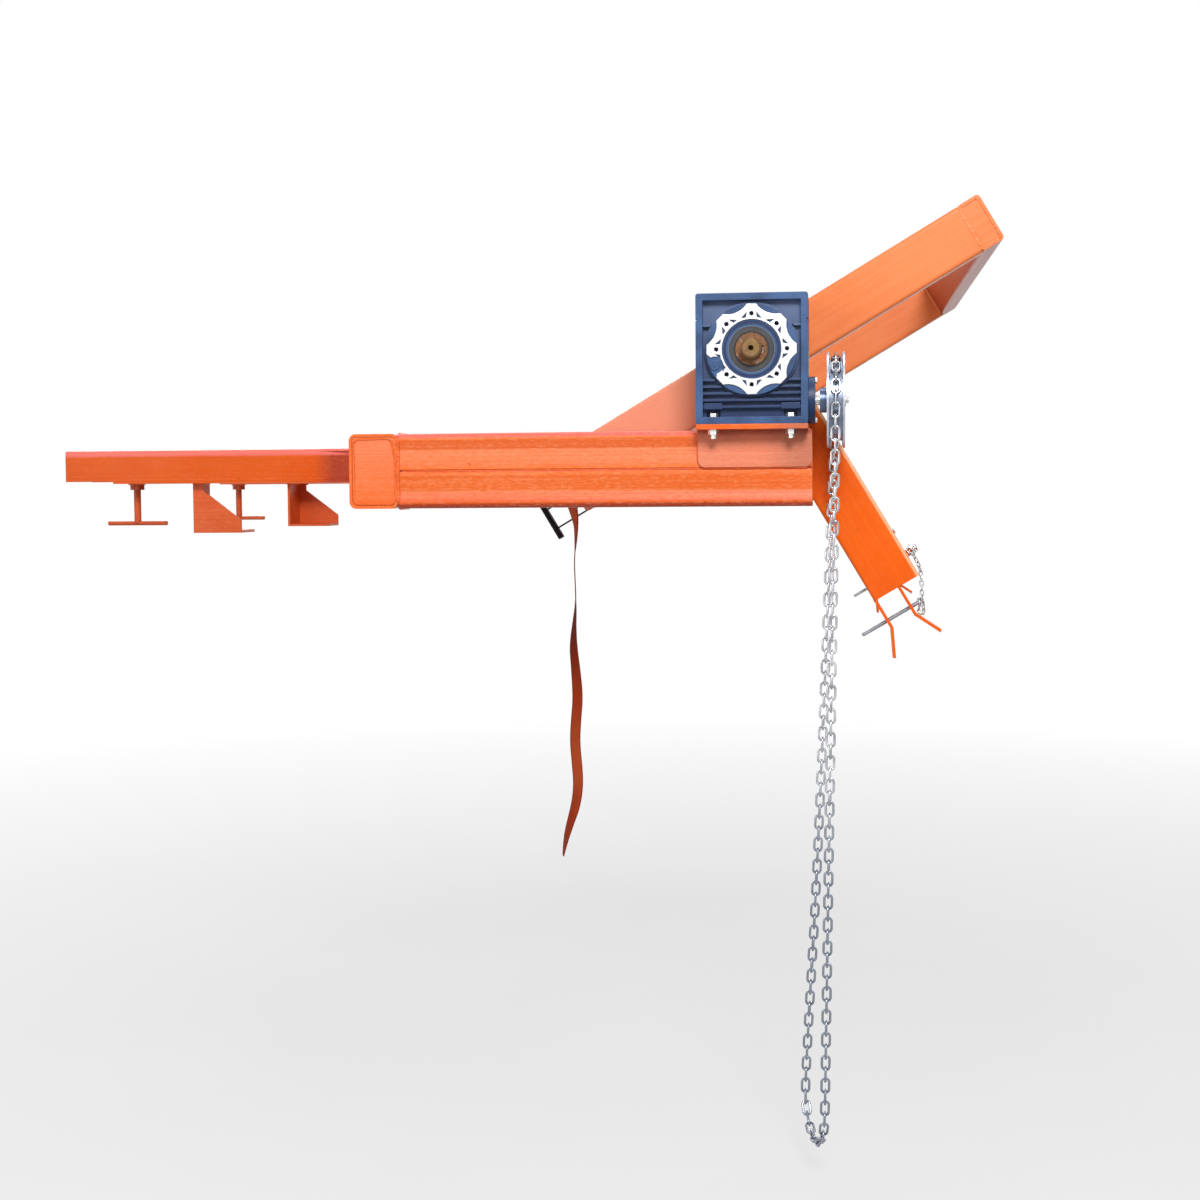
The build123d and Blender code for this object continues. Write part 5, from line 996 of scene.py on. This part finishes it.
FRAME_WELDS = [
    # The arm on the cross beam, outside
    (0.0044, OPEN, [(CROSS_BACK + 0.0002, ARM_OUT - 0.0008 - dip, z) for z, dip in GROOVED]),
    # The seam of the arm's two channels
    (0.0016, OPEN, [(0.8800, ARM_OUT - 0.0011, -0.051), (1.6930, ARM_OUT - 0.0011, -0.051)]),
    # The end plate of the cross beam
    (0.0026, CLOSED, [(x, ARM_OUT - 0.0018, z) for x, z in CROSS_RIM]),
    # The arm on the cross beam: above, below and inside
    (0.0030, OPEN, over(CROSS_BACK + 0.0005, ARM_TOP - 0.0005, ARM, 0.012)),
    (0.0030, OPEN, over(CROSS_BACK + 0.0005, ARM_BOTTOM + 0.0005, ARM, 0.012)),
    (0.0035, OPEN, [(CROSS_BACK + 0.0015, ARM_IN - 0.0005 + dip, z) for z, dip in GROOVED]),
    # The sleeve on the cross beam: above, inside and on its pinched side
    (0.0040, OPEN, [(SLEEVE_X, 0.428, 0.0055), (SLEEVE_X, 0.284, 0.0055)]),
    (0.0035, OPEN, [(SLEEVE_X, 0.2805, 0.004), (SLEEVE_X, 0.2805, -0.064)]),
    (0.0032, OPEN, [(SLEEVE_X, 0.4015, -0.001), (SLEEVE_X, 0.4015, -0.064)]),
    # The park foot under the sleeve, before and behind its plate and beside it
    (0.0030, OPEN, [(0.2900, 0.3105, SLEEVE_Z), (0.2900, 0.4015, SLEEVE_Z)]),
    (0.0030, OPEN, [(0.2965, 0.3105, SLEEVE_Z), (0.2965, 0.4015, SLEEVE_Z)]),
    (0.0028, OPEN, [(0.2935, 0.404, SLEEVE_Z), (0.320, 0.404, SLEEVE_Z)]),
]
ONE_SIDE_WELDS = [
    # The apron of the saddle on the near arm
    (
        0.0030, OPEN,
        [
            (1.4765, APRON_Y, 0.018), (1.4765, APRON_Y, -0.038), (1.4895, APRON_Y, -0.0496),
            (1.6890, APRON_Y, -0.0496),
        ],
    ),
    # The saddle on top of the near arm, at both ends
    (0.0030, OPEN, [(1.476, -0.816, ON_ARM), (1.476, -0.738, ON_ARM)]),
    (0.0030, OPEN, [(1.692, -0.816, ON_ARM), (1.692, -0.738, ON_ARM)]),
    # The far bearing's stand: its base on the arm, and its plate on the base
    (
        0.0030, CLOSED,
        [(1.504, 0.7405, ON_ARM), (1.664, 0.7405, ON_ARM), (1.664, 0.8195, ON_ARM), (1.504, 0.8195, ON_ARM)],
    ),
    (0.0035, OPEN, [(1.516, 0.7525, 0.0345), (1.652, 0.7525, 0.0345)]),
]
# The cradle's points are (u, y, w)
CRADLE_WELDS = [
    # The lift arm under the side beam: outside, inside and at both ends
    (0.0030, OPEN, [(-0.042, BEAM_OUT + 0.0002, 0.0595), (0.047, BEAM_OUT + 0.0002, 0.0595)]),
    (0.0030, OPEN, [(-0.042, BEAM_IN - 0.0002, 0.0595), (0.047, BEAM_IN - 0.0002, 0.0595)]),
    (0.0035, OPEN, over(-0.0505, 0.0595, BEAM, 0.008)),
    (0.0035, OPEN, over(0.0555, 0.0595, BEAM, 0.008)),
    # The side beam on the back beam, outside, and the end plate of the back beam
    (0.0040, OPEN, [(0.4935, BEAM_OUT - 0.0025, -0.037), (0.4935, BEAM_OUT - 0.0025, 0.051)]),
    (0.0026, CLOSED, [(u, BEAM_OUT - 0.0018, w) for u, w in BACK_RIM]),
    # The side beam on the back beam: inside, above and below
    (0.0035, OPEN, [(0.4915, BEAM_IN, -0.037), (0.4915, BEAM_IN, 0.051)]),
    (0.0026, OPEN, over(0.4935, -0.0425, BEAM, 0.008)),
    (0.0026, OPEN, over(0.4935, 0.0565, BEAM, 0.008)),
    # The trunnion fork under the lift arm, at both ends
    (0.0026, OPEN, over(-0.0485, 0.5505, BEAM, 0.006)),
    (0.0026, OPEN, over(0.0110, 0.5505, BEAM, 0.006)),
    # The strap lug on the inside of the side beam
    (0.0024, OPEN, [(-0.445, BEAM_IN - 0.008, 0.0275), (-0.400, BEAM_IN - 0.008, 0.0275)]),
    (0.0024, OPEN, [(-0.3958, BEAM_IN - 0.0015, 0.035), (-0.3958, BEAM_IN - 0.0015, 0.050)]),
    # The tether lug on the lift arm
    (0.0018, OPEN, [(0.0553, 0.6642, 0.4945), (0.0553, 0.6642, 0.5075)]),
    # The shaft hub on the side beam
    (0.0034, CLOSED, [(u, HUB_Y, w) for u, w in circle(HUB_RING, 36)]),
]
frame_runs, cradle_runs = [], []
for s in SIDES.values():
    for radius, closed, points in FRAME_WELDS:
        frame_runs.append((radius, closed, [(x, s * y, z) for x, y, z in points]))
    nut_ring = [(NUT_X + x, s * NUT_Y + y, SLEEVE_Z) for x, y in circle(NUT_RING, 12)]
    frame_runs.append((0.0026, CLOSED, nut_ring))
    for radius, closed, points in CRADLE_WELDS:
        cradle_runs.append((radius, closed, [cradle(u, w, s * y) for u, y, w in points]))
welds("frame_weld_beads", frame_runs + ONE_SIDE_WELDS, "frame", orange_weld)
welds("cradle_weld_beads", cradle_runs, "cradle", cradle_weld)

# Stage and light: a pale floor that whitens away from the object, under a white sky
FLOOR = -1.46
FLOOR_MIDDLE = (1.2, 0.6, FLOOR)
FLOOR_CORNERS = [(-40, -40, FLOOR), (42, -40, FLOOR), (42, 40, FLOOR), (-40, 40, FLOOR)]
SKY_LIGHT = 0.27


def seen(tree):
    """One on rays that show a surface as it looks, and nought on those that only bring its light."""
    rays = node(tree, "ShaderNodeLightPath")
    total = sums(tree, "ADD", rays.outputs["Is Camera Ray"], rays.outputs["Is Glossy Ray"], clamp=True)
    return sums(tree, "ADD", total, rays.outputs["Is Transmission Ray"], clamp=True)


pale, tree, bsdf = shader("pale_floor", Roughness=0.9)
connect(tree, bsdf, Base_Color=levels(tree, cloud(tree, place(tree), 3, 4), (0, 0.42), (1, 0.48)))
glow = node(tree, "ShaderNodeEmission", {"Color": (1, 1, 1, 1), "Strength": 1.0})
distance = sums(tree, "MULTIPLY", vectors(tree, "DISTANCE", place(tree), FLOOR_MIDDLE), 0.1)
share = sums(tree, "MULTIPLY", seen(tree), levels(tree, distance, (0.10, 0.62), (0.55, 1)))
blend = node(tree, "ShaderNodeMixShader", {0: share, 1: bsdf.outputs[0], 2: glow.outputs[0]})
tree.links.new(blend.outputs[0], tree.nodes["Material Output"].inputs["Surface"])
floor = bpy.data.objects.new("floor", mesh_of("floor", FLOOR_CORNERS, [[0, 1, 2, 3]]))
floor.data.materials.append(pale)
scene.collection.objects.link(floor)

world = bpy.data.worlds.new("studio")
scene.world = world
world.use_nodes = True
tree = world.node_tree
sky = tree.nodes["Background"]
sky.inputs["Color"].default_value = (1, 1, 1, 1)
connect(tree, sky, Strength=sums(tree, "MULTIPLY_ADD", seen(tree), 1 - SKY_LIGHT, SKY_LIGHT))


def lamp(name, spot, aim, size, power):
    """A round lamp that is turned to what it lights."""
    light = bpy.data.lights.new(name, "AREA")
    light.shape = "DISK"
    light.size = size
    light.energy = power
    made = bpy.data.objects.new(name, light)
    made.location = spot
    made.rotation_euler = (Vector(aim) - Vector(spot)).to_track_quat("-Z", "Y").to_euler()
    scene.collection.objects.link(made)


lamp("key", (2.3, -5.0, 2.6), (1.2, -0.5, -0.1), 1.8, 238)
lamp("fill", (-2.6, -4.8, 0.8), (1.0, -0.4, -0.2), 3.0, 60)
lamp("top", (1.4, 1.0, 5.0), (1.2, -0.2, 0), 3.0, 60)
lamp("back", (-1.6, 4.6, 2.6), (1.1, 0.3, 0), 3.0, 150)
